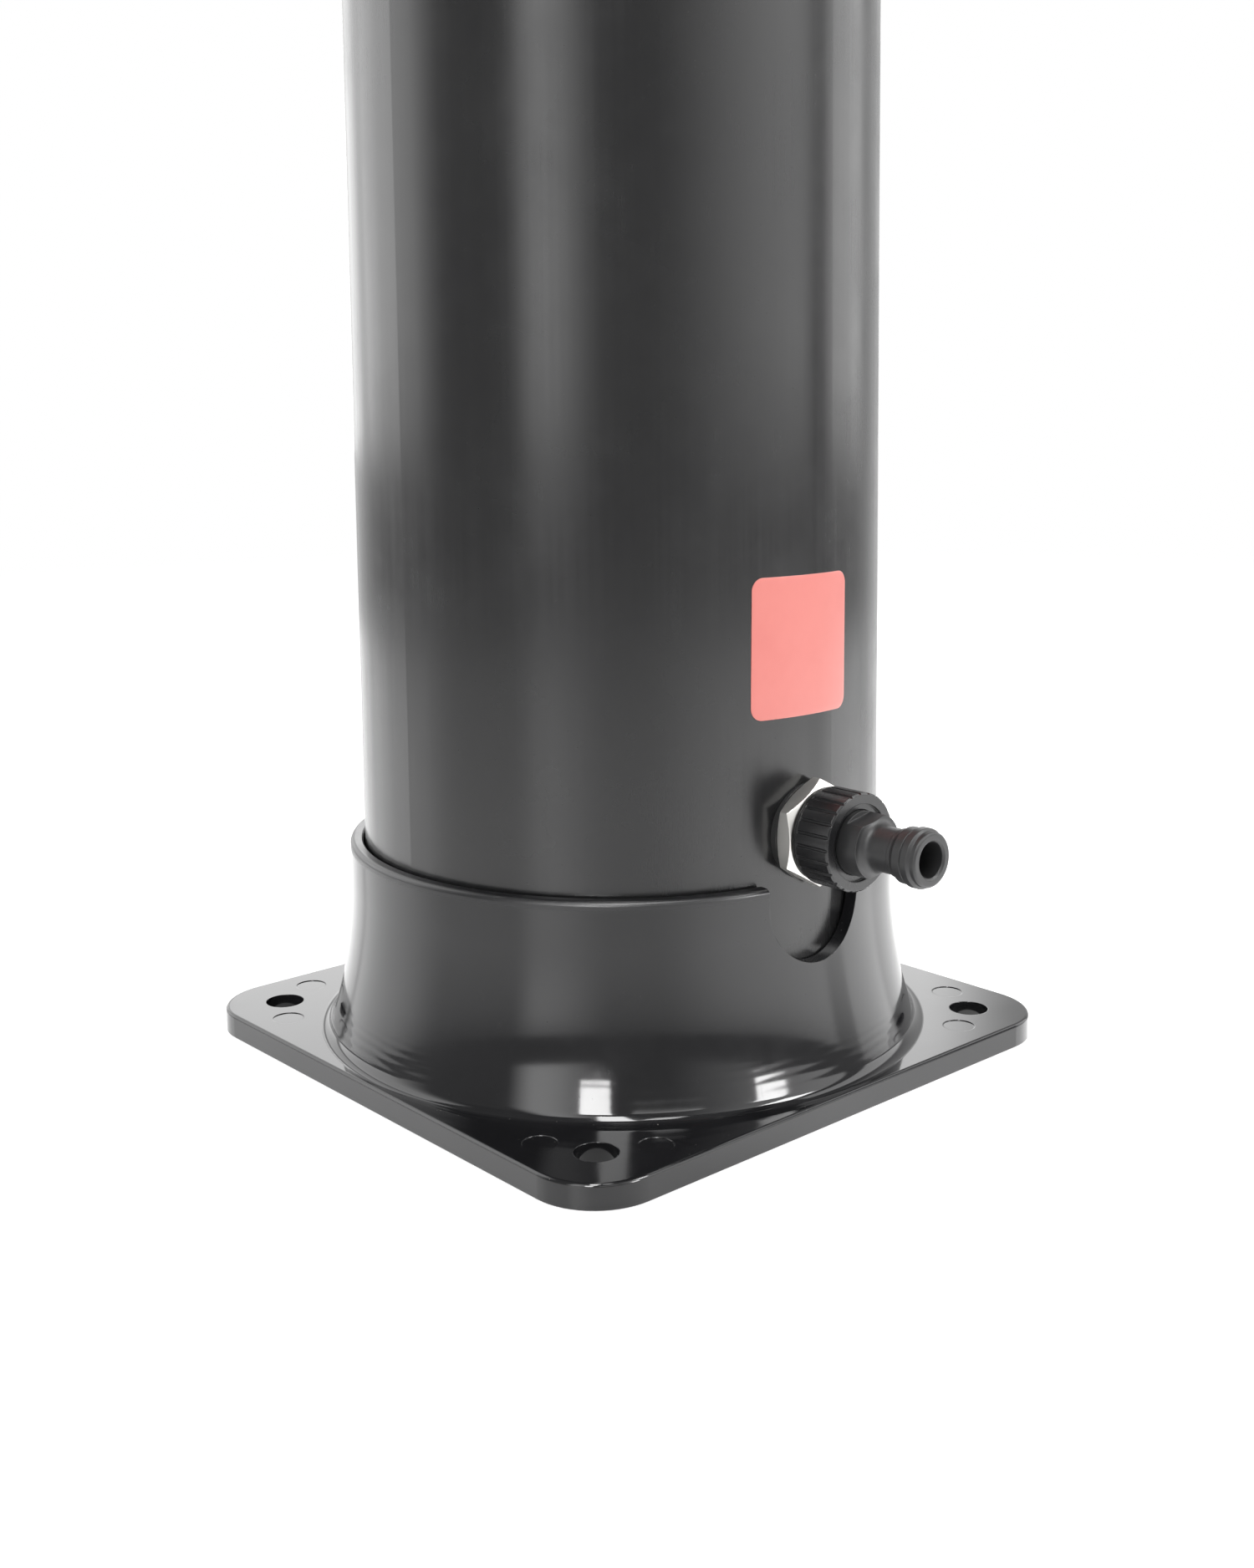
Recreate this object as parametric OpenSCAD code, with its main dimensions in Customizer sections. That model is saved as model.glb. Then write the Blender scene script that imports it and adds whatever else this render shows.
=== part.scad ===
// Solar outdoor shower: a black two-piece pipe tank on a moulded foot, filled from a garden hose,
// with a single-lever mixer and a swan-neck arm that carries a tilting rain head.
// The origin is on the floor under the tank's axis. -Y is the front, where the bather stands.

/* [Tank] */
// Outside diameter of the tank pipe
tank_d = 160; // [156:1:168]
// Wall thickness of the tank pipe
tank_wall = 3.6; // [3:0.2:5]
// Length of the lower tank pipe
lower_pipe_len = 984; // [800:1:1100]
// Length of the upper tank pipe
upper_pipe_len = 948; // [800:1:1100]

/* [Foot] */
// Thickness of the foot's square plate
plate_t = 7; // [6:0.5:9]
// Side of the foot's square plate
plate_side = 193; // [190:1:200]
// Flat left on the plate outside the trumpet, at the middle of a side
plate_margin = 1.4; // [1:0.1:3]
// Radius of the plate's corners
plate_corner_r = 20; // [14:1:24]
// Distance between neighbouring bolt holes
bolt_spacing = 155; // [153:0.5:158]
// Diameter of the bolt holes
bolt_d = 12; // [9:0.5:13]
// Height of the collar's rim above the floor
collar_h = 66; // [62:1:72]
// Wall of the collar at its rim
collar_wall = 4; // [3.5:0.25:6]
// Radius of the long flare
flare_r = 135; // [120:5:160]
// Radius of the fillet where the flare meets the plate
flare_fillet = 4; // [3:0.5:5]
// Radius of the U-shaped notch under the inlet
notch_r = 18; // [17:0.5:20]
// Thickness of the floor that the tank stands on
pocket_floor_t = 4; // [3:0.5:6]

/* [Inlet] */
// Height of the hose inlet above the floor
inlet_z = 79; // [78:0.5:84]
// Outside diameter of the inlet's pipe thread
thread_d = 20.9; // [20:0.1:21.5]
// Width across flats of the outer lock nut
lock_nut_af = 27; // [26:0.5:29]
// Thickness of the outer lock nut
lock_nut_t = 5.2; // [4:0.2:7]
// Outside diameter of the ribbed union nut
union_nut_d = 27.6; // [26.5:0.1:30]
// Length of the ribbed union nut
union_nut_len = 13.4; // [13:0.2:18]
// Number of grooves round the union nut
union_nut_grooves = 24; // [16:1:30]
// Bore of the hose plug
hose_plug_bore = 9.8; // [8:0.1:10.5]

/* [Coupling] */
// Outside diameter of the ribbed coupling ring between the two pipes
coupling_d = 169; // [168:1:180]
// Height of the coupling ring
coupling_h = 40; // [36:1:50]
// Number of grip ribs round the coupling ring
coupling_ribs = 36; // [24:2:48]

/* [Top] */
// Height of the dome above the pipe's end
dome_h = 22; // [18:1:30]
// Depth of the dome's skirt over the pipe
dome_skirt = 26; // [22:1:34]

/* [Mixer] */
// Height of the mixer's axis above the floor
mixer_z = 1150; // [1120:5:1250]
// Radius of the mixer's round body and of the ball under its handle
mixer_r = 24; // [23:0.5:27]
// Length of the lever, from the ball's centre to its tip
lever_len = 112; // [90:1:130]
// Width of the lever
lever_w = 16; // [12:1:20]

/* [Shower arm] */
// Outside diameter of the arm's pipe
arm_d = 22; // [20:0.5:24]
// Wall of the arm's pipe
arm_wall = 1.5; // [1:0.1:2]
// Radius of the swan neck's bend
arm_bend_r = 100; // [98:1:130]
// Height of the bend's start above the dome
arm_rise = 38; // [30:1:80]

/* [Shower head] */
// Diameter of the shower head
head_d = 160; // [120:2:170]
// Height of the head's rim, under its round shoulder
head_rim_h = 8; // [7:0.5:14]
// Number of rings of spray nozzles round the middle one
nozzle_rings = 5; // [3:1:5]
// Diameter of the ball that the head tilts on
ball_d = 22; // [20:0.5:24]

/* [Hidden] */

$fn = 96;

// Clearances: glued or threaded fits, loose holes, the tank in the foot's collar, snug fits,
// faces that only meet, seals in their grooves, and the pin in its hole
fit_gap = 0.15;
hole_gap = 0.4;
collar_gap = 0.5;
snug_gap = 0.1;
face_gap = 0.05;
seal_gap = 0.03;
pin_gap = 0.02;
cut = 1;
hex_chamfer = 1.2;
screw_end_gap = 1;
// Where one arc runs into another, it crosses by this much and not merely touches
arc_bite = 0.002;

tank_r = tank_d / 2;
tank_bore_r = tank_r - tank_wall;
glued_r = tank_bore_r - fit_gap;
skirt_wall = 6;

// Foot
collar_in_r = tank_r + collar_gap;
collar_r = collar_in_r + collar_wall;
rim_round = 1.6;
rim_lead = 0.8;
plate_half = plate_side / 2;
foot_r = plate_half - plate_margin;
flare_angle = acos((collar_r + flare_r - foot_r) / (flare_r - flare_fillet));
flare_start = plate_t + flare_fillet + (flare_r - flare_fillet) * sin(flare_angle);
flare_end = flare_start - flare_r * sin(flare_angle);
plate_edge_round = 1;
bolt_pos = bolt_spacing / 2;
pin_mark_r = 4.8;
pin_mark_depth = 0.2;
pin_mark_in = 14.3;
pin_mark_out = 7.3;
pocket_floor_z = 12;
tank_z0 = pocket_floor_z + pocket_floor_t;
notch_z = inlet_z - 19;
rib_t = 3;
under_skin = 3.5;
flare_skin = 4.5;
flare_core_h = 3;
foot_boss_r = 14;
bolt_boss_wall = 4;
foot_rib_count = 8;
foot_screw_circle = 50;
foot_screw_r = 2;
foot_screw_head_r = 4;
foot_screw_head_t = 2.6;
foot_screw_len = 13;
foot_screw_turn = 22.5;
foot_screw_key_r = 1.6;
socket_boss_r = 7;
socket_boss_h = 5;

// Tank levels
bottom_plug_t = 10;
plug_skirt_h = 34;
pipe_joint_z = tank_z0 + lower_pipe_len;
spigot_flange_t = 6;
spigot_r = tank_r - 1;
spigot_wall = 10;
spigot_h = coupling_h - 10;
spigot_top = pipe_joint_z + spigot_flange_t + spigot_h;
spigot_skirt = 50;
seal_wire_r = 2;
seal_ring_r = spigot_r - spigot_wall / 2;
tail_flange_t = 3.6;
tail_seat_z = spigot_top + fit_gap;
tail_flange_r = spigot_r - fit_gap;
coupling_lip_t = 6;
coupling_z0 = pipe_joint_z + spigot_flange_t + fit_gap;
coupling_z1 = tail_seat_z + tail_flange_t + fit_gap + coupling_lip_t;
coupling_r = coupling_d / 2;
coupling_rib_r = 2.4;
coupling_rib_in = 0.3;
coupling_band_h = 4;
upper_z0 = coupling_z1 + fit_gap;
upper_z1 = upper_z0 + upper_pipe_len;
top_plug_depth = 40;
top_plug_disc_t = 10;
top_plug_z = upper_z1 - top_plug_depth;
dome_in_r = tank_r + fit_gap;
dome_wall = 3.5;
dome_r = dome_in_r + dome_wall;
dome_z = upper_z1 + dome_h;
dome_shelf = 8;
dome_screw_r = 1.8;
dome_screw_z = upper_z1 - 14;
dome_screw_turn = 30;
dome_screw_in = 8;
dome_head_r = 3.4;
dome_head_top_r = 2.6;
dome_head_t = 1.8;
cross_w = 0.8;
cross_len = 3.6;

// Inlet, measured along its axis from the tank's axis
thread_r = thread_d / 2;
nipple_bore_r = 7;
inlet_washer_r = 13.9;
inlet_washer_t = 0.8;
inlet_washer_dip = 4;
inlet_washer_end = tank_r + inlet_washer_t;
lock_nut_end = inlet_washer_end + lock_nut_t;
lock_nut_chamfer = 1.4;
union_nut_start = lock_nut_end + 0.2;
union_nut_end = union_nut_start + union_nut_len;
union_nut_r = union_nut_d / 2;
union_face_t = 3;
union_recess_r = 10.9;
union_recess_t = 1;
groove_r = 0.5;
groove_depth = 0.45;
groove_start = 2.2;
union_step = 0.5;
union_lead = 0.7;
union_band_end = 2;
plug_flange_t = 2.4;
plug_seal_t = 2;
plug_flange_r = thread_r - snug_gap;
nipple_end = union_nut_end - union_face_t - plug_flange_t - plug_seal_t - snug_gap;
nipple_hex_af = 26;
nipple_hex_t = 6;
nipple_tail = 14;
inner_seat_in = 5;
inner_seat = tank_bore_r - inner_seat_in;
nipple_start = inner_seat - nipple_hex_t - nipple_tail;
plug_bore_r = hose_plug_bore / 2;

// Plug, by radius and by distance from the union nut's face
plug_shoulder_r = 9;
plug_shoulder_end = 6;
plug_flat_af = 15.2;
plug_flat_start = 0.6;
plug_flat_turn = 11;
plug_neck_r = 6.3;
plug_neck_end = 14.6;
plug_catch_r = 7.75;
plug_catch_start = 17.2;
plug_catch_end = 19.6;
plug_seat_r = 8.2;
plug_seat_start = 20.4;
plug_seat_end = 22.4;
plug_nose_r = 7.5;
plug_nose_end = 24.8;
plug_nose_round = 0.8;
plug_bore_lead = 0.8;
plug_lead = 0.7;
plug_groove_r = 7.3;

// Tee
tee_r = 14;
tee_len = 30;
tee_wall = 4;
tee_port_in = 9;
tee_port_r = 3;
tee_barb_in = 2;
tee_end = inner_seat - nipple_hex_t - fit_gap;
tee_y = tee_end - tee_len + tee_port_in;

// Hoses
hose_r = 6;
hose_bore_r = 4;
barb_r = hose_bore_r - 0.1;
barb_bore_r = 2.4;
barb_len = 20;
barb_root = 1;
barb_groove = 0.6;
barb_step = 0.9;
barb_pitch = 4;
barb_ring_t = 3.4;
ferrule_wall = 0.9;
ferrule_len = 14;
ferrule_in = 1;
hose_bend_r = 26;
hose_lift = 2;
hot_intake_depth = 60;

// Mixer, measured along its axis from the tank's axis
saddle_t = 4;
saddle_in = 1;
saddle_dip = 10;
mixer_face = tank_r + saddle_t;
mixer_cove_r = 8;
mixer_flange_r = mixer_r + mixer_cove_r;
mixer_flange_t = 3;
shank_r = 17;
shank_gap = 0.3;
shank_len = 30;
shank_end = mixer_face - shank_len;
mixer_hose_in = shank_end - hose_lift - hose_bend_r;
back_nut_af = 44;
back_nut_t = 7;
inner_washer_t = 9;
port_circle = 9.6;
// Outlet, hot and cold
port_angles = [30, 150, 270];
port_r = 2.6;
mixer_floor_t = 16;
mixer_wall = 6.6;
cartridge_z = mixer_face + mixer_floor_t;
cartridge_r = mixer_r - mixer_wall;
cartridge_wall = 2.8;
cartridge_base = 5;
cartridge_h = 26;
pivot_in = 22;
pivot = cartridge_z + pivot_in;
lift_max = 25;
seal_o_r = 0.9;
disc_r = cartridge_r - cartridge_wall - 2 * snug_gap;
fixed_disc_t = 3.5;
disc_face = cartridge_z + cartridge_base + fixed_disc_t;
moving_disc_t = 3.4;
disc_travel_room = 3.8;
moving_disc_r = disc_r - disc_travel_room;
mix_pocket_y = 1.5;
mix_pocket_wall = 3.4;
mix_pocket_h = 1.8;
running_gap = 0.06;
carrier_t = 5.4;
carrier_floor = 0.6;
stem_ball_r = 2.2;
stem_rod_r = 1.3;
socket_r = stem_ball_r + 0.3;
carrier_z = disc_face + running_gap + moving_disc_t;
stem_arm = pivot - (carrier_z + carrier_floor + socket_r);
guide_gap = 0.12;
guide_clear = 0.6;
guide_slot_len = 18.4;
guide_bottom = carrier_z + carrier_t + guide_clear;
guide_top = cartridge_z + cartridge_h;
guide_pin_r = 1.5;
ring_nut_t = 5;
ring_nut_in_r = 11.4;
ring_nut_r = cartridge_r + 0.6;
ring_nut_back = 0.3;
spanner_slot_w = 3;
spanner_slot_deep = 2.4;
spanner_slot_out = 2.6;
body_top = guide_top + ring_nut_t;
stem_w = 8.5;
handle_gap = 0.8;
handle_in_r = mixer_r + handle_gap;
handle_wall = 4;
handle_r = handle_in_r + handle_wall;
handle_edge_z = handle_r / 2;
handle_boss_r = 7.6;
boss_gap = 0.5;
handle_boss_z = (body_top - pivot + boss_gap + handle_boss_r * sin(lift_max)) / cos(lift_max);
stem_top_in = 3.8;
stem_top = pivot + handle_in_r - stem_top_in;
handle_floor_t = 2.3;
screw_seat_z = stem_top + handle_floor_t;
handle_screw_r = 2;
handle_screw_head_r = 3.6;
handle_screw_head_t = 2.2;
handle_screw_len = 12;
handle_key_r = 1.7;
handle_key_deep = 1.4;
cap_r = 6;
cap_t = 2.4;
cap_rim = 1.6;
cap_sink = 0.2;
cap_seat = sqrt(pow(handle_r - cap_sink, 2) - pow(cap_r, 2)) - cap_t;
lever_droop = 32;
lever_t = 7;
lever_root_w = lever_w * 1.15;
lever_tip_w = lever_w * 0.85;
lever_tip_t = lever_t * 0.68;

// Top swivel and arm
boss_wall = 5;
arm_r = arm_d / 2;
arm_bore_r = arm_r - arm_wall;
bush_wall = 4.4;
bush_gap = 0.1;
bush_flange_t = 3;
bush_flange_w = 2.4;
bush_in_r = arm_r + bush_gap;
bush_r = bush_in_r + bush_wall;
top_boss_r = bush_r + fit_gap + boss_wall;
top_boss_top = dome_z + 2;
chamber_floor = top_plug_z + top_plug_disc_t;
arm_foot = chamber_floor + 0.3;
clip_t = 1.2;
clip_z = arm_foot + 1.5;
clip_r = arm_r + 1.6;
clip_groove = 0.7;
clip_mouth = 3;
arm_seal_wire = 1.2;
arm_seal_z = [arm_foot + 10, arm_foot + 17];
bush_z0 = chamber_floor + 0.1;
rosette_r = top_boss_r + 6;
rosette_h = 12;
rosette_wall = 2.5;
rosette_round = 9;
rosette_skirt = 4;
bend_z = dome_z + arm_rise;
arm_drop = 12;
arm_end = bend_z - arm_drop;
arm_y = -2 * arm_bend_r;

// Shower head, hung from the arm's end
ball_r = ball_d / 2;
ball_hex_af = 24;
ball_hex_t = 14;
ball_neck_r = 5.4;
ball_bore_r = 4;
ball_neck_len = 16;
ball_drop = ball_hex_t + ball_neck_len;
ball_spigot_len = 8;
ball_z = arm_end - ball_drop;
socket_gap = 0.08;
collar_lip_z = 6.2;
head_collar_r = ball_r + 7;
head_collar_len = 8;
head_collar_edge = 1;
head_collar_top_z = -2;
head_collar_taper = 4;
head_collar_ribs = 12;
head_collar_rib_r = 1.8;
head_collar_rib_in = 1.5;
spigot_head_r = ball_r + 1.4;
spigot_head_top = -8.5;
spigot_head_bore = 7.4;
spigot_foot_w = 5;
spigot_foot_end = 3;
spigot_foot_t = 0.5;
seal_cup_t = 4;
head_r = head_d / 2;
head_wall = 2.6;
head_neck_z = -20;
head_crown_r = 250;
head_shoulder_r = 3;
head_crown_z = head_neck_z - head_crown_r;
head_rim_z = head_crown_z + sqrt(pow(head_crown_r - head_shoulder_r + arc_bite, 2)
                                 - pow(head_r - head_shoulder_r, 2));
head_face_z = head_rim_z - head_rim_h;
face_ledge = 1.5;
face_t = 3;
face_inset = 1;
mat_t = 1.6;
nozzle_hole_r = 2.2;
nozzle_r = 1.9;
nozzle_tip_r = 1.3;
nozzle_out = 2.2;
nozzle_bore_r = 0.6;
nozzle_pitch = 13;
nozzle_edge = 5;

// Shapes that several parts share

// A square with true round corners
module rounded_square(side, r) {
    square([side, side - 2 * r], center = true);
    square([side - 2 * r, side], center = true);
    for (x = [-1, 1], y = [-1, 1])
        translate([x * (side / 2 - r), y * (side / 2 - r)]) circle(r);
}

// A square plate whose upper edge is rounded
module soft_plate(side, r, t, edge) {
    linear_extrude(t - edge) rounded_square(side, r);
    linear_extrude(t) rounded_square(side - 2 * edge, r - edge);
    for (a = [0:90:270]) rotate(a) {
        translate([side / 2 - edge, -(side / 2 - r), t - edge])
            rotate([-90, 0, 0]) cylinder(r = edge, h = side - 2 * r, $fn = 24);
        translate([side / 2 - r, side / 2 - r, t - edge])
            rotate_extrude(angle = 90) translate([r - edge, 0]) circle(edge, $fn = 24);
    }
}

module ring(r_out, r_in, h) {
    difference() {
        cylinder(r = r_out, h = h);
        translate([0, 0, -cut]) cylinder(r = r_in, h = h + 2 * cut);
    }
}

// A hexagon bar whose corners are turned down at one or both ends
module hex_bar(af, h, chamfer, both = true) {
    corner = af / sqrt(3);
    low = both ? chamfer : 0;
    intersection() {
        rotate(30) cylinder(r = corner, h = h, $fn = 6);
        rotate_extrude() polygon([
            [0, 0], [both ? af / 2 - 0.3 : corner + 0.1, 0], [corner + 0.1, low],
            [corner + 0.1, h - chamfer], [af / 2 - 0.3, h], [0, h]]);
    }
}

module o_ring(ring_r, wire_r) {
    rotate_extrude() translate([ring_r, 0]) circle(wire_r, $fn = 24);
}

// Places children on the inlet's axis: local +Z points out of the tank's back
module on_inlet() {
    translate([0, 0, inlet_z]) rotate([-90, 0, 0]) children();
}

// Places children on the mixer's axis: local +Z points out of the tank's front, +Y up
module on_mixer() {
    translate([0, 0, mixer_z]) rotate([90, 0, 0]) children();
}

// The tank's outside or inside, as a cutter for saddle faces
module tank_core(r) {
    translate([0, 0, -cut]) cylinder(r = r, h = upper_z1 + 2 * cut, $fn = 180);
}

module hose_section() {
    difference() {
        circle(hose_r);
        circle(hose_bore_r);
    }
}

// A hose that runs along +Z, turns once toward +X and runs on
module elbow_hose(run_in, run_out) {
    ring(hose_r, hose_bore_r, run_in);
    translate([hose_bend_r, 0, run_in]) rotate([90, 0, 180])
        rotate_extrude(angle = 90) translate([hose_bend_r, 0]) hose_section();
    translate([hose_bend_r, 0, run_in + hose_bend_r]) rotate([0, 90, 0])
        ring(hose_r, hose_bore_r, run_out);
}

// A hose tail whose root is sunk into what carries it
module hose_barb() {
    difference() {
        union() {
            cylinder(r = barb_r - barb_groove, h = barb_len + barb_root);
            cylinder(r = barb_r, h = barb_root + barb_pitch);
            for (i = [1:4])
                translate([0, 0, barb_root + i * barb_pitch])
                    cylinder(r1 = barb_r, r2 = barb_r - barb_step, h = barb_ring_t);
        }
        translate([0, 0, -cut]) cylinder(r = barb_bore_r, h = barb_len + barb_root + 2 * cut);
    }
}

// Foot

// The trumpet's section: the collar, the long flare and the fillet that meets the plate
module trumpet_section() {
    difference() {
        translate([collar_in_r, plate_t - cut])
            square([foot_r - collar_in_r, collar_h - plate_t + cut]);
        translate([collar_r, flare_start]) square([flare_r, collar_h]);
        intersection() {
            translate([collar_r + flare_r, flare_start]) circle(flare_r, $fn = 180);
            translate([collar_r - cut, flare_end]) square([flare_r, flare_start - flare_end]);
        }
        translate([foot_r, plate_t + flare_fillet - arc_bite]) circle(flare_fillet);
        translate([collar_r - rim_round, collar_h - rim_round]) difference() {
            square(2 * rim_round);
            circle(rim_round);
        }
        translate([collar_in_r, collar_h]) rotate(45) square(rim_lead, center = true);
    }
}

module at_bolts() {
    for (x = [-1, 1], y = [-1, 1]) translate([x * bolt_pos, y * bolt_pos, 0]) children();
}

// The hollow that the mould leaves under the foot, with ribs and bosses standing in it
module underside_core() {
    under_plate = 2 * (plate_half - rib_t);
    difference() {
        union() {
            translate([0, 0, -cut])
                linear_extrude(plate_t - under_skin + cut)
                    rounded_square(under_plate, plate_corner_r - rib_t);
            translate([0, 0, -cut]) cylinder(r = collar_in_r - rib_t, h = pocket_floor_z + cut);
            translate([0, 0, -cut])
                ring(foot_r - flare_skin, collar_in_r + rib_t, plate_t + flare_core_h);
        }
        translate([0, 0, -2 * cut]) {
            ring(collar_in_r + rib_t, collar_in_r - rib_t, tank_z0);
            cylinder(r = foot_boss_r, h = tank_z0);
            for (i = [0:foot_rib_count - 1]) rotate(i * 360 / foot_rib_count)
                translate([0, -rib_t / 2, 0]) cube([2 * plate_half, rib_t, tank_z0]);
            at_foot_screws() cylinder(r = foot_screw_head_r + rib_t, h = tank_z0);
        }
        at_bolts() translate([0, 0, -2 * cut])
            cylinder(r = bolt_d / 2 + bolt_boss_wall, h = plate_t + 2 * cut);
    }
}

module base_foot() {
    color([0.10, 0.10, 0.11]) difference() {
        union() {
            soft_plate(plate_side, plate_corner_r, plate_t, plate_edge_round);
            rotate_extrude($fn = 180) trumpet_section();
            cylinder(r = collar_in_r + cut, h = tank_z0);
        }
        translate([0, 0, tank_z0]) cylinder(r = collar_in_r, h = collar_h, $fn = 180);
        underside_core();
        at_bolts() translate([0, 0, -cut]) cylinder(r = bolt_d / 2, h = plate_t + 2 * cut);
        for (x = [-1, 1], y = [-1, 1])
            for (p = [[pin_mark_in, -pin_mark_out], [-pin_mark_out, pin_mark_in]])
                translate([x * (bolt_pos - p[0]), y * (bolt_pos - p[1]), plate_t - pin_mark_depth])
                    cylinder(r = pin_mark_r, h = cut);
        on_notch() cylinder(r = notch_r, h = 2 * tank_r);
        on_notch() translate([-notch_r, -2 * tank_r, 0]) cube([2 * notch_r, 2 * tank_r, 2 * tank_r]);
        at_foot_screws() translate([0, 0, -cut])
            cylinder(r = foot_screw_r + hole_gap, h = tank_z0 + 2 * cut);
        at_foot_screws() translate([0, 0, -cut])
            cylinder(r = foot_screw_head_r + hole_gap, h = pocket_floor_z + cut);
    }
}

// The centre of the notch's round bottom, on the collar's back
module on_notch() {
    translate([0, tank_r / 2, notch_z]) rotate([-90, 0, 0]) children();
}

module at_foot_screws() {
    for (i = [0:3]) rotate(foot_screw_turn + i * 90)
        translate([foot_screw_circle, 0, 0]) children();
}

module foot_screws() {
    color([0.7, 0.7, 0.72]) at_foot_screws() translate([0, 0, pocket_floor_z]) {
        cylinder(r = foot_screw_r, h = foot_screw_len);
        difference() {
            translate([0, 0, -foot_screw_head_t])
                cylinder(r = foot_screw_head_r, h = foot_screw_head_t);
            translate([0, 0, -foot_screw_head_t - cut])
                cylinder(r = foot_screw_key_r, h = foot_screw_head_t, $fn = 6);
        }
    }
}

// Tank

module lower_pipe() {
    color([0.16, 0.16, 0.17]) difference() {
        translate([0, 0, tank_z0])
            ring(tank_r, tank_bore_r, lower_pipe_len, $fn = 180);
        on_inlet() cylinder(r = thread_r + hole_gap, h = 2 * tank_r);
    }
}

module bottom_plug() {
    color([0.2, 0.2, 0.2]) difference() {
        translate([0, 0, tank_z0]) union() {
            ring(glued_r, glued_r - skirt_wall, plug_skirt_h);
            cylinder(r = glued_r, h = bottom_plug_t);
            at_foot_screws() cylinder(r = socket_boss_r, h = bottom_plug_t + socket_boss_h);
        }
        at_foot_screws() translate([0, 0, tank_z0 - cut])
            cylinder(r = foot_screw_r + fit_gap, h = foot_screw_len - pocket_floor_t + screw_end_gap + cut);
    }
}

module upper_pipe() {
    color([0.16, 0.16, 0.17]) difference() {
        translate([0, 0, upper_z0])
            ring(tank_r, tank_bore_r, upper_pipe_len, $fn = 180);
        on_mixer() cylinder(r = shank_r + shank_gap, h = 2 * tank_r);
        dome_screw_holes();
    }
}

// Coupling

module lower_spigot() {
    color([0.22, 0.22, 0.23]) difference() {
        union() {
            translate([0, 0, pipe_joint_z - spigot_skirt])
                cylinder(r = glued_r, h = spigot_skirt);
            translate([0, 0, pipe_joint_z]) cylinder(r = tank_r, h = spigot_flange_t);
            translate([0, 0, pipe_joint_z])
                cylinder(r = spigot_r, h = spigot_flange_t + spigot_h);
        }
        translate([0, 0, pipe_joint_z - spigot_skirt - cut])
            cylinder(r = spigot_r - spigot_wall, h = spigot_skirt + spigot_flange_t + spigot_h + 2 * cut);
        translate([0, 0, spigot_top - 2 * seal_wire_r + fit_gap])
            ring(seal_ring_r + seal_wire_r + fit_gap, seal_ring_r - seal_wire_r - fit_gap,
                 2 * seal_wire_r);
    }
}

module coupling_seal() {
    color([0.05, 0.05, 0.05])
        translate([0, 0, spigot_top - seal_wire_r + fit_gap + seal_gap / 2])
            o_ring(seal_ring_r, seal_wire_r - seal_gap);
}

// The ring screws onto the spigot and pulls the upper tail down with its inner lip
module coupling_ring() {
    h = coupling_z1 - coupling_z0;
    color([0.12, 0.12, 0.13]) translate([0, 0, coupling_z0]) difference() {
        union() {
            cylinder(r = coupling_r - coupling_rib_r / 2, h = h);
            for (z = [0, h - coupling_band_h]) translate([0, 0, z])
                cylinder(r = coupling_r, h = coupling_band_h);
            for (i = [0:coupling_ribs - 1]) rotate(i * 360 / coupling_ribs)
                translate([coupling_r - coupling_rib_r - coupling_rib_in, 0, coupling_band_h / 2])
                    cylinder(r = coupling_rib_r, h = h - coupling_band_h, $fn = 24);
        }
        translate([0, 0, -cut]) cylinder(r = spigot_r + fit_gap, h = h - coupling_lip_t + cut);
        translate([0, 0, -cut]) cylinder(r = tank_bore_r, h = h + 2 * cut);
    }
}

module upper_tail() {
    tail_h = upper_z0 - tail_seat_z + spigot_skirt;
    color([0.22, 0.22, 0.23]) translate([0, 0, tail_seat_z]) difference() {
        union() {
            cylinder(r = tail_flange_r, h = tail_flange_t);
            cylinder(r = glued_r, h = tail_h);
        }
        translate([0, 0, -cut]) cylinder(r = spigot_r - spigot_wall, h = tail_h + 2 * cut);
    }
}

// Top of the tank

module at_dome_screws() {
    for (i = [0:2]) rotate(dome_screw_turn + i * 120)
        translate([tank_r, 0, dome_screw_z]) rotate([0, 90, 0]) children();
}

module dome_screw_holes() {
    at_dome_screws() cylinder(r = dome_screw_r + fit_gap, h = tank_r / 2, center = true);
}

module top_plug() {
    color([0.22, 0.22, 0.23]) difference() {
        union() {
            translate([0, 0, top_plug_z]) cylinder(r = glued_r, h = top_plug_disc_t);
            translate([0, 0, top_plug_z]) ring(glued_r, glued_r - skirt_wall, top_plug_depth);
            translate([0, 0, top_plug_z])
                cylinder(r = top_boss_r, h = top_boss_top - top_plug_z);
        }
        translate([0, 0, chamber_floor]) cylinder(r = bush_r + fit_gap, h = top_boss_top);
        translate([port_x(0), 0, top_plug_z - cut])
            cylinder(r = barb_bore_r, h = top_plug_disc_t + 4 * cut);
        dome_screw_holes();
    }
    color([0.22, 0.22, 0.23]) translate([port_x(0), 0, top_plug_z + barb_root])
        rotate([180, 0, 0]) hose_barb();
}

// The dome's section from the pipe's end up: skirt, shelf, round edge and flat crown
module dome_section() {
    crown_x = dome_r - dome_h;
    hole_x = top_boss_r + hole_gap;
    difference() {
        union() {
            translate([hole_x, -dome_skirt]) square([dome_r - hole_x, dome_skirt]);
            translate([hole_x, -cut]) square([crown_x - hole_x, dome_h + cut]);
            translate([crown_x, 0]) intersection() {
                circle(dome_h);
                translate([-cut, -cut]) square(dome_h + 2 * cut);
            }
        }
        translate([0, -dome_skirt - cut]) square([dome_in_r, dome_skirt + cut + fit_gap]);
        translate([0, -cut]) square([crown_x, dome_h - dome_wall + cut]);
        intersection() {
            translate([crown_x, 0]) circle(dome_h - dome_wall);
            square([tank_r - dome_shelf, dome_h]);
        }
    }
}

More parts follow.
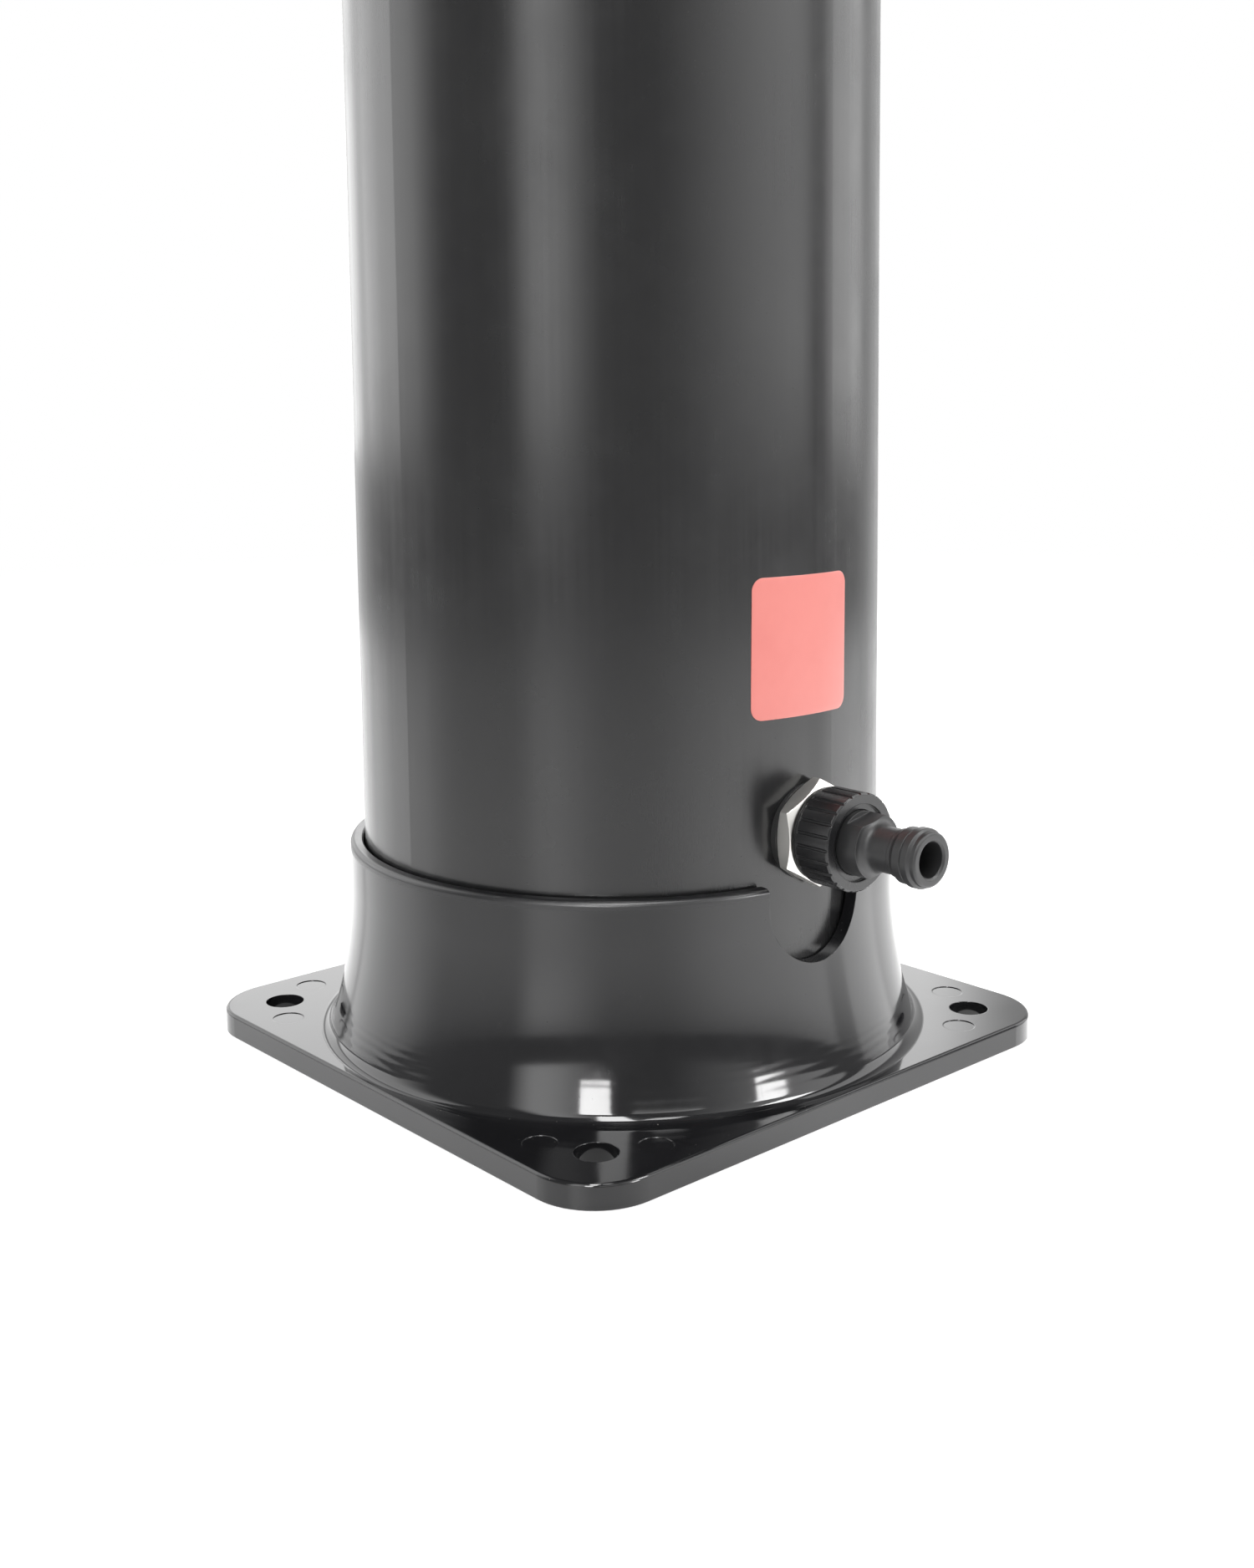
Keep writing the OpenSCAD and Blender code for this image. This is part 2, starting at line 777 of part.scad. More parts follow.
module top_dome() {
    color([0.10, 0.10, 0.11]) difference() {
        translate([0, 0, upper_z1]) rotate_extrude($fn = 180) dome_section();
        dome_screw_holes();
    }
}

module dome_screws() {
    color([0.75, 0.75, 0.77]) at_dome_screws() {
        translate([0, 0, -dome_screw_in])
            cylinder(r = dome_screw_r, h = dome_screw_in + dome_r - tank_r);
        translate([0, 0, dome_r - tank_r]) difference() {
            cylinder(r1 = dome_head_r, r2 = dome_head_top_r, h = dome_head_t);
            for (a = [0, 90]) rotate(a)
                translate([-cross_len / 2, -cross_w / 2, dome_head_t - cross_w])
                    cube([cross_len, cross_w, cut]);
        }
    }
}

// Inlet

module inlet_nipple() {
    color([0.80, 0.79, 0.76]) on_inlet() difference() {
        union() {
            translate([0, 0, nipple_start]) cylinder(r = thread_r, h = nipple_end - nipple_start);
            translate([0, 0, inner_seat - nipple_hex_t]) hex_bar(nipple_hex_af, nipple_hex_t, hex_chamfer);
        }
        translate([0, 0, nipple_start - cut])
            cylinder(r = nipple_bore_r, h = nipple_end - nipple_start + 2 * cut);
    }
}

module inlet_washer() {
    color([0.05, 0.05, 0.05]) difference() {
        on_inlet() translate([0, 0, tank_r - inlet_washer_dip])
            ring(inlet_washer_r, thread_r + fit_gap, inlet_washer_t + inlet_washer_dip);
        tank_core(tank_r + face_gap);
    }
}

module inlet_lock_nut() {
    color([0.85, 0.84, 0.80]) on_inlet() translate([0, 0, inlet_washer_end]) difference() {
        hex_bar(lock_nut_af, lock_nut_t, lock_nut_chamfer);
        translate([0, 0, -cut]) cylinder(r = thread_r + fit_gap / 2, h = lock_nut_t + 2 * cut);
    }
}

module inlet_inner_washer() {
    color([0.05, 0.05, 0.05]) intersection() {
        on_inlet() translate([0, 0, inner_seat])
            ring(nipple_hex_af / 2, thread_r + fit_gap, 2 * tank_wall + inner_seat_in);
        tank_core(tank_bore_r - face_gap);
    }
}

// Sends the hose water up to the mixer and lets it into the tank through its side ports
module inlet_tee() {
    color([0.30, 0.30, 0.31]) {
        difference() {
            on_inlet() translate([0, 0, tee_end - tee_len]) cylinder(r = tee_r, h = tee_len);
            on_inlet() translate([0, 0, nipple_start - fit_gap])
                cylinder(r = thread_r + fit_gap, h = 2 * tee_len);
            on_inlet() translate([0, 0, tee_end - tee_len + tee_wall])
                cylinder(r = nipple_bore_r, h = tee_len);
            translate([0, tee_y, inlet_z]) cylinder(r = barb_bore_r, h = 2 * tee_r);
            translate([0, tee_y, inlet_z]) rotate([0, 90, 0])
                cylinder(r = tee_port_r, h = 4 * tee_r, center = true);
        }
        translate([0, tee_y, inlet_z + tee_r - tee_barb_in]) hose_barb();
    }
}

module union_nut_body() {
    rim_r = union_nut_r - union_step;
    rotate_extrude() polygon([
        [0, 0], [rim_r - union_lead, 0], [rim_r, union_lead], [rim_r, union_band_end - union_step],
        [union_nut_r, union_band_end], [union_nut_r, union_nut_len - union_step],
        [rim_r, union_nut_len], [0, union_nut_len]]);
}

module hose_union_nut() {
    color([0.13, 0.13, 0.14]) on_inlet() translate([0, 0, union_nut_start]) difference() {
        union_nut_body();
        for (i = [0:union_nut_grooves - 1]) rotate(i * 360 / union_nut_grooves)
            translate([union_nut_r + groove_r - groove_depth, 0, groove_start])
                cylinder(r = groove_r, h = union_nut_len, $fn = 24);
        translate([0, 0, -cut])
            cylinder(r = thread_r + fit_gap, h = union_nut_len - union_face_t + cut);
        translate([0, 0, -cut]) cylinder(r = plug_shoulder_r + fit_gap, h = union_nut_len + 2 * cut);
        translate([0, 0, union_nut_len - union_recess_t])
            cylinder(r = union_recess_r, h = union_recess_t + cut);
    }
}

// The plug's section from its captured flange to its nose
module plug_section() {
    flange_z = -union_face_t - plug_flange_t;
    neck_round = plug_shoulder_r - plug_neck_r;
    difference() {
        union() {
            translate([plug_bore_r, flange_z])
                square([plug_flange_r - plug_bore_r, plug_flange_t - fit_gap]);
            translate([plug_bore_r, flange_z])
                square([plug_shoulder_r - plug_bore_r, plug_shoulder_end + neck_round - flange_z]);
            polygon([[plug_bore_r, 0], [plug_neck_r, 0], [plug_neck_r, plug_neck_end],
                     [plug_catch_r - plug_lead, plug_catch_start - plug_lead],
                     [plug_catch_r, plug_catch_start], [plug_catch_r, plug_catch_end],
                     [plug_groove_r, (plug_catch_end + plug_seat_start) / 2],
                     [plug_seat_r, plug_seat_start], [plug_seat_r, plug_seat_end],
                     [plug_nose_r, plug_seat_end + plug_lead],
                     [plug_nose_r, plug_nose_end - plug_nose_round],
                     [plug_bore_r, plug_nose_end - plug_nose_round]]);
            translate([plug_bore_r, plug_neck_end])
                square([plug_nose_r - plug_nose_round - plug_bore_r, plug_nose_end - plug_neck_end]);
            translate([plug_nose_r - plug_nose_round, plug_nose_end - plug_nose_round])
                circle(plug_nose_round, $fn = 24);
        }
        translate([plug_shoulder_r, plug_shoulder_end + neck_round]) circle(neck_round);
        translate([plug_bore_r, plug_nose_end]) rotate(45) square(plug_bore_lead, center = true);
    }
}

module hose_plug() {
    flat_w = 2 * plug_shoulder_r;
    color([0.17, 0.17, 0.18]) on_inlet() translate([0, 0, union_nut_end]) difference() {
        rotate_extrude() plug_section();
        for (i = [0:1]) rotate(plug_flat_turn + 180 * i)
            translate([-flat_w / 2, plug_flat_af / 2, plug_flat_start])
                cube([flat_w, flat_w, plug_shoulder_end + plug_shoulder_r - plug_neck_r]);
    }
}

module hose_plug_seal() {
    color([0.05, 0.05, 0.05]) on_inlet()
        translate([0, 0, union_nut_end - union_face_t - plug_flange_t - plug_seal_t])
            ring(thread_r - 2 * fit_gap, nipple_bore_r, plug_seal_t);
}

// Hoses, each from one of the mixer's three tails back into the tank and then down or up

function port_x(i) = port_circle * cos(port_angles[i]);
function port_y(i) = port_circle * sin(port_angles[i]);

// Places a hose on a mixer tail, turning up or down
module on_tail(i, down = false) {
    translate([port_x(i), hose_lift - shank_end, mixer_z + port_y(i)])
        rotate([-90, 0, 0]) rotate(down ? 90 : -90) children();
}

module cold_hose() {
    run_in = shank_end - hose_lift + tee_y - hose_bend_r;
    run_out = mixer_z + port_y(2) - hose_bend_r - (inlet_z + tee_r + hose_lift);
    color([0.25, 0.35, 0.55]) on_tail(2, down = true) elbow_hose(run_in, run_out);
}

// Draws the hottest water from just under the top plug
module hot_hose() {
    run_out = top_plug_z - hot_intake_depth - (mixer_z + port_y(1)) - hose_bend_r;
    color([0.55, 0.25, 0.22]) on_tail(1) elbow_hose(mixer_hose_in, run_out);
}

module outlet_hose() {
    run_out = top_plug_z - hose_lift - (mixer_z + port_y(0)) - hose_bend_r;
    color([0.30, 0.30, 0.32]) on_tail(0) elbow_hose(mixer_hose_in, run_out);
}

// Crimped sleeves over the hose ends
module ferrule() {
    ring(hose_r + fit_gap + ferrule_wall, hose_r + fit_gap, ferrule_len);
}

module hose_ferrules() {
    color([0.8, 0.8, 0.82]) {
        translate([0, tee_y, inlet_z + tee_r + hose_lift + ferrule_in]) ferrule();
        for (i = [0:2]) on_tail(i) translate([0, 0, ferrule_in]) ferrule();
        translate([port_x(0), 0, top_plug_z - hose_lift - ferrule_in - ferrule_len]) ferrule();
    }
}

// Mixer

module mixer_saddle() {
    color([0.05, 0.05, 0.05]) difference() {
        on_mixer() translate([0, 0, tank_r - saddle_dip])
            ring(mixer_flange_r - saddle_in, shank_r + shank_gap, saddle_t + saddle_dip);
        tank_core(tank_r + face_gap);
    }
}

// Wall flange, cove, round body and the ball under the handle, cut off at the cartridge's nut
module mixer_section() {
    cove_z = mixer_face + mixer_flange_t + mixer_cove_r;
    intersection() {
        translate([0, mixer_face]) square([mixer_flange_r + cut, body_top - mixer_face]);
        union() {
            difference() {
                translate([0, mixer_face]) square([mixer_flange_r, cove_z - mixer_face]);
                translate([mixer_flange_r, cove_z]) circle(mixer_cove_r);
            }
            translate([0, mixer_face]) square([mixer_r, pivot - mixer_face]);
            translate([0, pivot]) circle(mixer_r);
        }
    }
}

module mixer_body() {
    color([0.86, 0.87, 0.88]) on_mixer() difference() {
        union() {
            rotate_extrude() mixer_section();
            translate([0, 0, shank_end]) cylinder(r = shank_r, h = shank_len + cut);
        }
        translate([0, 0, cartridge_z]) cylinder(r = cartridge_r + fit_gap, h = 4 * mixer_r);
        translate([0, 0, guide_top]) cylinder(r = ring_nut_r + fit_gap, h = 4 * mixer_r);
        for (i = [0:2]) translate([port_x(i), port_y(i), shank_end - cut])
            cylinder(r = port_r, h = 2 * shank_len);
    }
    color([0.86, 0.87, 0.88]) on_mixer() for (i = [0:2])
        translate([port_x(i), port_y(i), shank_end + barb_root]) rotate([180, 0, 0]) hose_barb();
}

module mixer_inner_washer() {
    color([0.25, 0.25, 0.26]) intersection() {
        on_mixer() translate([0, 0, tank_bore_r - inner_washer_t])
            ring(back_nut_af / 2, shank_r + shank_gap, 2 * inner_washer_t);
        tank_core(tank_bore_r - face_gap);
    }
}

module mixer_back_nut() {
    color([0.80, 0.72, 0.45]) on_mixer()
        translate([0, 0, tank_bore_r - inner_washer_t - back_nut_t]) difference() {
            hex_bar(back_nut_af, back_nut_t, hex_chamfer);
            translate([0, 0, -cut]) cylinder(r = shank_r + fit_gap / 2, h = back_nut_t + 2 * cut);
        }
}

module cartridge_housing() {
    seal_seat = 2 * seal_o_r + snug_gap;
    color([0.85, 0.85, 0.80]) on_mixer() translate([0, 0, cartridge_z]) difference() {
        cylinder(r = cartridge_r, h = cartridge_h);
        translate([0, 0, cartridge_base]) cylinder(r = cartridge_r - cartridge_wall, h = cartridge_h);
        for (i = [0:2]) translate([port_x(i), port_y(i), -cut]) {
            cylinder(r = port_r, h = cartridge_base + 2 * cut);
            cylinder(r = port_r + 2 * seal_o_r + 2 * snug_gap, h = seal_seat + cut);
        }
    }
}

module cartridge_seals() {
    color([0.05, 0.05, 0.05]) on_mixer() for (i = [0:2])
        translate([port_x(i), port_y(i), cartridge_z + seal_o_r + seal_gap])
            o_ring(port_r + seal_o_r, seal_o_r);
}

module fixed_disc() {
    color([0.95, 0.93, 0.88]) on_mixer() translate([0, 0, cartridge_z + cartridge_base])
        difference() {
            cylinder(r = disc_r, h = fixed_disc_t);
            for (i = [0:2]) translate([port_x(i), port_y(i), -cut])
                cylinder(r = port_r, h = fixed_disc_t + 2 * cut);
        }
}

module moving_disc() {
    color([0.95, 0.93, 0.88]) on_mixer() translate([0, 0, disc_face + running_gap])
        difference() {
            cylinder(r = moving_disc_r, h = moving_disc_t);
            translate([0, mix_pocket_y, -cut])
                cylinder(r = moving_disc_r - mix_pocket_wall, h = mix_pocket_h + cut);
        }
}

module disc_carrier() {
    color([0.25, 0.25, 0.26]) on_mixer()
        translate([0, 0, carrier_z]) difference() {
            cylinder(r = moving_disc_r, h = carrier_t);
            translate([0, 0, carrier_floor]) cylinder(r = socket_r, h = carrier_t);
        }
}

module cartridge_guide() {
    slot_h = guide_top - guide_bottom + 2 * cut;
    color([0.90, 0.90, 0.85]) on_mixer() difference() {
        translate([0, 0, guide_bottom])
            cylinder(r = cartridge_r - cartridge_wall - guide_gap,
                     h = guide_top - guide_bottom - snug_gap);
        translate([-stem_w / 2 - fit_gap, -guide_slot_len / 2, guide_bottom - cut])
            cube([stem_w + 2 * fit_gap, guide_slot_len, slot_h]);
        translate([0, 0, pivot]) rotate([0, 90, 0])
            cylinder(r = guide_pin_r + pin_gap, h = 4 * cartridge_r, center = true);
    }
}

module guide_pin() {
    color([0.75, 0.75, 0.78]) on_mixer() translate([0, 0, pivot]) rotate([0, 90, 0])
        cylinder(r = guide_pin_r, h = 2 * (cartridge_r - cartridge_wall - guide_clear),
                 center = true);
}

module cartridge_ring_nut() {
    color([0.80, 0.72, 0.45]) on_mixer() translate([0, 0, guide_top]) difference() {
        cylinder(r = ring_nut_r, h = ring_nut_t - ring_nut_back);
        translate([0, 0, -cut]) cylinder(r = ring_nut_in_r, h = ring_nut_t + 2 * cut);
        for (i = [0:3]) rotate(45 + i * 90)
            translate([ring_nut_in_r - cut, -spanner_slot_w / 2, ring_nut_t - spanner_slot_deep])
                cube([spanner_slot_out + cut, spanner_slot_w, spanner_slot_deep + cut]);
    }
}

module lever_stem() {
    color([0.80, 0.72, 0.45]) on_mixer() difference() {
        union() {
            translate([-stem_w / 2, -stem_w / 2, pivot]) cube([stem_w, stem_w, stem_top - pivot]);
            translate([0, 0, pivot]) rotate([0, 90, 0])
                cylinder(r = stem_w / 2, h = stem_w, center = true);
            translate([0, 0, pivot - stem_arm]) cylinder(r = stem_rod_r, h = stem_arm);
            translate([0, 0, pivot - stem_arm]) sphere(r = stem_ball_r, $fn = 48);
        }
        translate([0, 0, pivot]) rotate([0, 90, 0])
            cylinder(r = guide_pin_r + 2 * pin_gap, h = 2 * stem_w, center = true);
        translate([0, 0, screw_seat_z - handle_screw_len - screw_end_gap])
            cylinder(r = handle_screw_r + face_gap, h = 2 * handle_screw_len);
    }
}

// The lever's bar, from inside the dome to its round tip
module lever_bar() {
    root = handle_r - handle_wall;
    tip = lever_len - lever_tip_w / 2;
    rotate([90 - lever_droop, 0, 0]) hull() {
        translate([0, 0, root]) scale([1, lever_t / lever_w, 1]) sphere(d = lever_root_w, $fn = 24);
        translate([0, 0, tip]) scale([1, lever_tip_t / lever_tip_w, 1])
            sphere(d = lever_tip_w, $fn = 24);
    }
}

module lever_handle() {
    color([0.86, 0.87, 0.88]) on_mixer() translate([0, 0, pivot]) difference() {
        union() {
            difference() {
                sphere(handle_r);
                sphere(handle_in_r);
                translate([0, 0, handle_edge_z - 2 * handle_r])
                    cylinder(r = 2 * handle_r, h = 2 * handle_r);
            }
            translate([0, 0, handle_boss_z])
                cylinder(r = handle_boss_r, h = handle_in_r + cut - handle_boss_z);
            difference() {
                lever_bar();
                sphere(r = handle_in_r);
            }
        }
        translate([-stem_w / 2 - face_gap, -stem_w / 2 - face_gap, 0])
            cube([stem_w + 2 * face_gap, stem_w + 2 * face_gap, stem_top - pivot + snug_gap]);
        translate([0, 0, stem_top - pivot - cut])
            cylinder(r = handle_screw_r + fit_gap, h = 2 * handle_r);
        translate([0, 0, screw_seat_z - pivot]) cylinder(r = cap_r + snug_gap, h = handle_r);
    }
}

module handle_screw() {
    color([0.75, 0.75, 0.78]) on_mixer() difference() {
        translate([0, 0, screw_seat_z]) union() {
            cylinder(r = handle_screw_head_r, h = handle_screw_head_t);
            translate([0, 0, -handle_screw_len]) cylinder(r = handle_screw_r, h = handle_screw_len + cut);
        }
        translate([0, 0, screw_seat_z + handle_screw_head_t - handle_key_deep])
            cylinder(r = handle_key_r, h = 2 * handle_key_deep, $fn = 6);
    }
}

// A disc that snaps into the handle over the screw and carries on its round top
module handle_cap() {
    color([0.75, 0.10, 0.10]) on_mixer() translate([0, 0, pivot]) difference() {
        intersection() {
            translate([0, 0, cap_seat]) cylinder(r = cap_r, h = handle_r);
            sphere(handle_r - cap_sink);
        }
        translate([0, 0, cap_seat - cut]) cylinder(r = cap_r - cap_rim, h = 2 * cut);
    }
}

// Swivel and arm

module swivel_bush() {
    color([0.92, 0.92, 0.90]) difference() {
        union() {
            translate([0, 0, bush_z0]) cylinder(r = bush_r, h = top_boss_top - bush_z0);
            translate([0, 0, top_boss_top]) cylinder(r = bush_r + bush_flange_w, h = bush_flange_t);
        }
        translate([0, 0, bush_z0 - cut]) cylinder(r = bush_in_r, h = top_boss_top);
        translate([0, 0, bush_z0 - cut])
            cylinder(r = clip_r + 2 * fit_gap, h = clip_z + clip_t + 2 * snug_gap - bush_z0 + cut);
        for (z = arm_seal_z) translate([0, 0, z - arm_seal_wire - face_gap])
            cylinder(r = arm_r + 2 * (arm_seal_wire + face_gap), h = 2 * (arm_seal_wire + face_gap));
    }
}

// O-rings that sit in the bush and wipe the arm
module arm_seals() {
    color([0.05, 0.05, 0.05]) for (z = arm_seal_z) translate([0, 0, z])
        o_ring(arm_r + seal_gap + arm_seal_wire, arm_seal_wire);
}

module arm_clip() {
    color([0.7, 0.7, 0.72]) translate([0, 0, clip_z]) difference() {
        cylinder(r = clip_r, h = clip_t);
        translate([0, 0, -cut]) cylinder(r = arm_r - clip_groove + face_gap, h = clip_t + 2 * cut);
        translate([0, -clip_mouth / 2, -cut]) cube([2 * arm_r, clip_mouth, clip_t + 2 * cut]);
    }
}

module arm_pipe(r) {
    straight = bend_z - arm_foot;
    translate([0, 0, arm_foot]) cylinder(r = r, h = straight);
    translate([0, -arm_bend_r, bend_z]) rotate([90, 0, 90])
        rotate_extrude(angle = 180) translate([arm_bend_r, 0]) circle(r);
    translate([0, arm_y, arm_end]) cylinder(r = r, h = bend_z - arm_end);
}

module shower_arm() {
    color([0.86, 0.87, 0.88]) difference() {
        arm_pipe(arm_r);
        arm_pipe(arm_bore_r);
        translate([0, 0, arm_foot - cut]) cylinder(r = arm_bore_r, h = 2 * cut);
        translate([0, arm_y, arm_end - cut]) cylinder(r = arm_bore_r, h = 2 * cut);
        translate([0, 0, clip_z - face_gap])
            ring(arm_r + cut, arm_r - clip_groove, clip_t + 2 * face_gap);
    }
}

// One wall of the rosette's bell: a round edge of radius r, reaching out to x and up to z
module bell_section(x, z, r) {
    translate([0, -rosette_skirt]) square([x - r, z + rosette_skirt]);
    translate([0, -rosette_skirt]) square([x, z - r + rosette_skirt]);
    translate([x - r, z - r]) intersection() {
        circle(r);
        translate([-cut, -cut]) square(r + 2 * cut);
    }
}

module arm_rosette() {
    hub_r = arm_r + face_gap;
    color([0.86, 0.87, 0.88]) translate([0, 0, top_boss_top + bush_flange_t + 2 * fit_gap])
        rotate_extrude() difference() {
            bell_section(rosette_r, rosette_h, rosette_round);
            translate([0, -rosette_skirt - cut]) square([hub_r, 4 * rosette_h]);
            translate([0, -cut]) bell_section(rosette_r - rosette_wall, rosette_h - rosette_wall + cut,
                                              rosette_round - rosette_wall);
        }
}

// Shower head

// Places children at the ball's centre
module on_head() {
    translate([0, arm_y, ball_z]) children();
}

module head_ball() {
    color([0.86, 0.87, 0.88]) on_head() difference() {
        union() {
            translate([0, 0, ball_drop - ball_hex_t]) hex_bar(ball_hex_af, ball_hex_t, hex_chamfer);
            translate([0, 0, ball_drop - 2 * cut])
                cylinder(r = arm_bore_r - face_gap, h = ball_spigot_len + 2 * cut);
            cylinder(r = ball_neck_r, h = ball_drop - cut);
            sphere(r = ball_r);
        }
        translate([0, 0, -2 * ball_r]) cylinder(r = ball_bore_r, h = 3 * ball_drop);
    }
}

module head_collar() {
    base = spigot_head_top - head_collar_len;
    seat = spigot_head_top + seal_cup_t;
    rib_r0 = head_collar_r - head_collar_edge;
    rib_h = head_collar_top_z - base - 2 * head_collar_rib_in;
    color([0.86, 0.87, 0.88]) on_head() difference() {
        union() {
            rotate_extrude() polygon([
                [0, base], [rib_r0, base], [head_collar_r, base + head_collar_edge],
                [head_collar_r, head_collar_top_z],
                [head_collar_r - head_collar_taper, collar_lip_z], [0, collar_lip_z]]);
            for (i = [0:head_collar_ribs - 1]) rotate(i * 360 / head_collar_ribs)
                translate([rib_r0, 0, base + head_collar_rib_in])
                    cylinder(r = head_collar_rib_r, h = rib_h, $fn = 24);
        }
        translate([0, 0, base - cut]) cylinder(r = spigot_head_r + fit_gap, h = seat - base + cut);
        translate([0, 0, seat - cut]) cylinder(r = ball_r + socket_gap, h = cut - seat);
        sphere(r = ball_r + socket_gap);
    }
}

module ball_seal() {
    color([0.05, 0.05, 0.05]) on_head() difference() {
        translate([0, 0, spigot_head_top]) ring(spigot_head_r - 2 * snug_gap, spigot_head_bore,
                                               seal_cup_t - snug_gap);
        sphere(r = ball_r + seal_gap);
    }
}

// The shell's section: a screwed spigot on a shallow crown, a round shoulder and the rim
module head_section() {
    ledge_r = head_r - head_wall - face_ledge;
    ledge_z = head_face_z + face_inset + face_t;
    shoulder_x = head_r - head_shoulder_r;
    difference() {
        union() {
            intersection() {
                translate([0, head_crown_z]) circle(head_crown_r, $fn = 360);
                translate([0, head_rim_z])
                    square([shoulder_x * head_crown_r / (head_crown_r - head_shoulder_r), head_crown_r]);
            }
            translate([shoulder_x, head_rim_z]) circle(head_shoulder_r);
            translate([0, head_face_z]) square([head_r, head_rim_h]);
            polygon([[0, head_neck_z - head_wall],
                     [spigot_head_r + spigot_foot_w, head_neck_z - head_wall],
                     [spigot_head_r + spigot_foot_w, head_neck_z + spigot_foot_t],
                     [spigot_head_r, head_neck_z + spigot_foot_end],
                     [spigot_head_r, spigot_head_top], [0, spigot_head_top]]);
        }
        intersection() {
            translate([0, head_crown_z]) circle(head_crown_r - head_wall, $fn = 360);
            translate([0, head_face_z]) square([ledge_r, head_crown_r]);
        }
        translate([0, head_face_z - cut]) square([head_r - head_wall, ledge_z - head_face_z + cut]);
        translate([0, head_face_z]) square([spigot_head_bore, spigot_head_top - head_face_z + cut]);
    }
}

module head_shell() {
    color([0.86, 0.87, 0.88]) on_head() rotate_extrude($fn = 180) head_section();
}

// Nozzle centres: one in the middle, then rings of six more each
function nozzle_points() = concat([[0, 0]],
    [for (k = [1:nozzle_rings]) for (i = [0:6 * k - 1]) let (a = i * 360 / (6 * k))
        nozzle_pitch * k * [cos(a), sin(a)]]);

module spray_plate() {
    r = head_r - head_wall - snug_gap;
    color([0.78, 0.79, 0.80]) on_head() translate([0, 0, head_face_z + face_inset]) difference() {
        cylinder(r = r, h = face_t - snug_gap, $fn = 180);
        for (p = nozzle_points()) translate([p[0], p[1], -cut])
            cylinder(r = nozzle_hole_r, h = face_t + 2 * cut, $fn = 24);
    }
}

module nozzle_mat() {
    r = nozzle_pitch * nozzle_rings + nozzle_edge;
    z0 = head_face_z + face_inset + face_t;
    color([0.35, 0.36, 0.38]) on_head() difference() {
        union() {
            translate([0, 0, z0]) cylinder(r = r, h = mat_t);
            for (p = nozzle_points()) translate([p[0], p[1], z0 - face_t - nozzle_out])
                cylinder(r1 = nozzle_tip_r, r2 = nozzle_r, h = face_t + nozzle_out + snug_gap,
                         $fn = 24);
        }
        for (p = nozzle_points()) translate([p[0], p[1], z0 - face_t - nozzle_out - cut])
            cylinder(r = nozzle_bore_r, h = face_t + nozzle_out + mat_t + 2 * cut, $fn = 24);
    }
}

base_foot();
foot_screws();
lower_pipe();
bottom_plug();
inlet_nipple();
inlet_washer();
inlet_lock_nut();
inlet_inner_washer();
inlet_tee();
hose_union_nut();
hose_plug();
hose_plug_seal();
lower_spigot();
coupling_seal();
coupling_ring();
upper_tail();
upper_pipe();
top_plug();
top_dome();
dome_screws();
cold_hose();
hot_hose();
outlet_hose();
hose_ferrules();
mixer_saddle();
mixer_body();
mixer_inner_washer();
mixer_back_nut();
cartridge_housing();
cartridge_seals();
fixed_disc();
moving_disc();
disc_carrier();
cartridge_guide();
guide_pin();
cartridge_ring_nut();
lever_stem();
lever_handle();
handle_screw();
handle_cap();
swivel_bush();
arm_seals();
arm_clip();
shower_arm();
arm_rosette();
head_ball();
head_collar();
ball_seal();
head_shell();
spray_plate();
nozzle_mat();
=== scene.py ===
# %% [markdown]
# # Dressing a solar shower for a studio picture
# The real object is a black pipe that stands on a glossy moulded foot. The sun warms the water
# in it, a garden hose fills it from behind, and a tap and a rain head sit at the front. Its shapes
# come from a finished CAD frame, so this lesson is about finishes, light and the one thin piece
# that the CAD model leaves out. First the frame is loaded, and a helper gives a node's box.

# %% Load the frame
import math

import bmesh
import bpy
from mathutils import Matrix, Vector


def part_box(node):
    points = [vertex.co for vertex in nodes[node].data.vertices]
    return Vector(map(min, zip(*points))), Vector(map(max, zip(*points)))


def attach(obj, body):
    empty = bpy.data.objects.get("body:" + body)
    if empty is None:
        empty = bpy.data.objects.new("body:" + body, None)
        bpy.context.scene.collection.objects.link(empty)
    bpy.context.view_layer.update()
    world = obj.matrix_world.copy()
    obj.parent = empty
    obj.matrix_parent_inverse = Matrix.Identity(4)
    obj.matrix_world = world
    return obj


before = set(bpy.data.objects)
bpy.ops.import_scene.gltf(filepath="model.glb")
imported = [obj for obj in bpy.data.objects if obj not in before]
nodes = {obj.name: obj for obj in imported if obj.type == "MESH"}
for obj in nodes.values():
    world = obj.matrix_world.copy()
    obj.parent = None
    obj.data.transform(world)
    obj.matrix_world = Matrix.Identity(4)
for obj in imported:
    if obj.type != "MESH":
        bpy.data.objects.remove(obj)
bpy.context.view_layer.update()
MM = 0.001

# %% [markdown]
# ## The camera
# The picture was taken from behind and to one side, from about foot height, with a lens close to
# normal. The tube's sides stay nearly parallel in it, although the camera looks down a little, and
# that is what a vertical lens shift does. The camera is given by where it looks, from which side
# and how far, because those numbers can be turned one at a time while watching the picture.
# Lamps are placed by their turn from this camera too, so a helper gives such a direction.

# %% Camera
PHOTO_HIGH = 1876
SENSOR = 36.0
view_turn, view_tilt, view_roll = math.radians(138.502), math.radians(6.698), math.radians(-0.617)
view_distance = 0.5539
look_right, look_up = 0.0028, 0.1411
focal_pixels = 2128.2
optical_centre_y = 704
nearest, farthest = 0.01, 50


def add_to_scene(name, data):
    """A new object in the scene."""
    item = bpy.data.objects.new(name, data)
    bpy.context.scene.collection.objects.link(item)
    return item


def heading(turn, climb):
    """The direction at a turn round the part and a climb above the floor, both in radians."""
    return Vector((math.sin(turn) * math.cos(climb), -math.cos(turn) * math.cos(climb), math.sin(climb)))


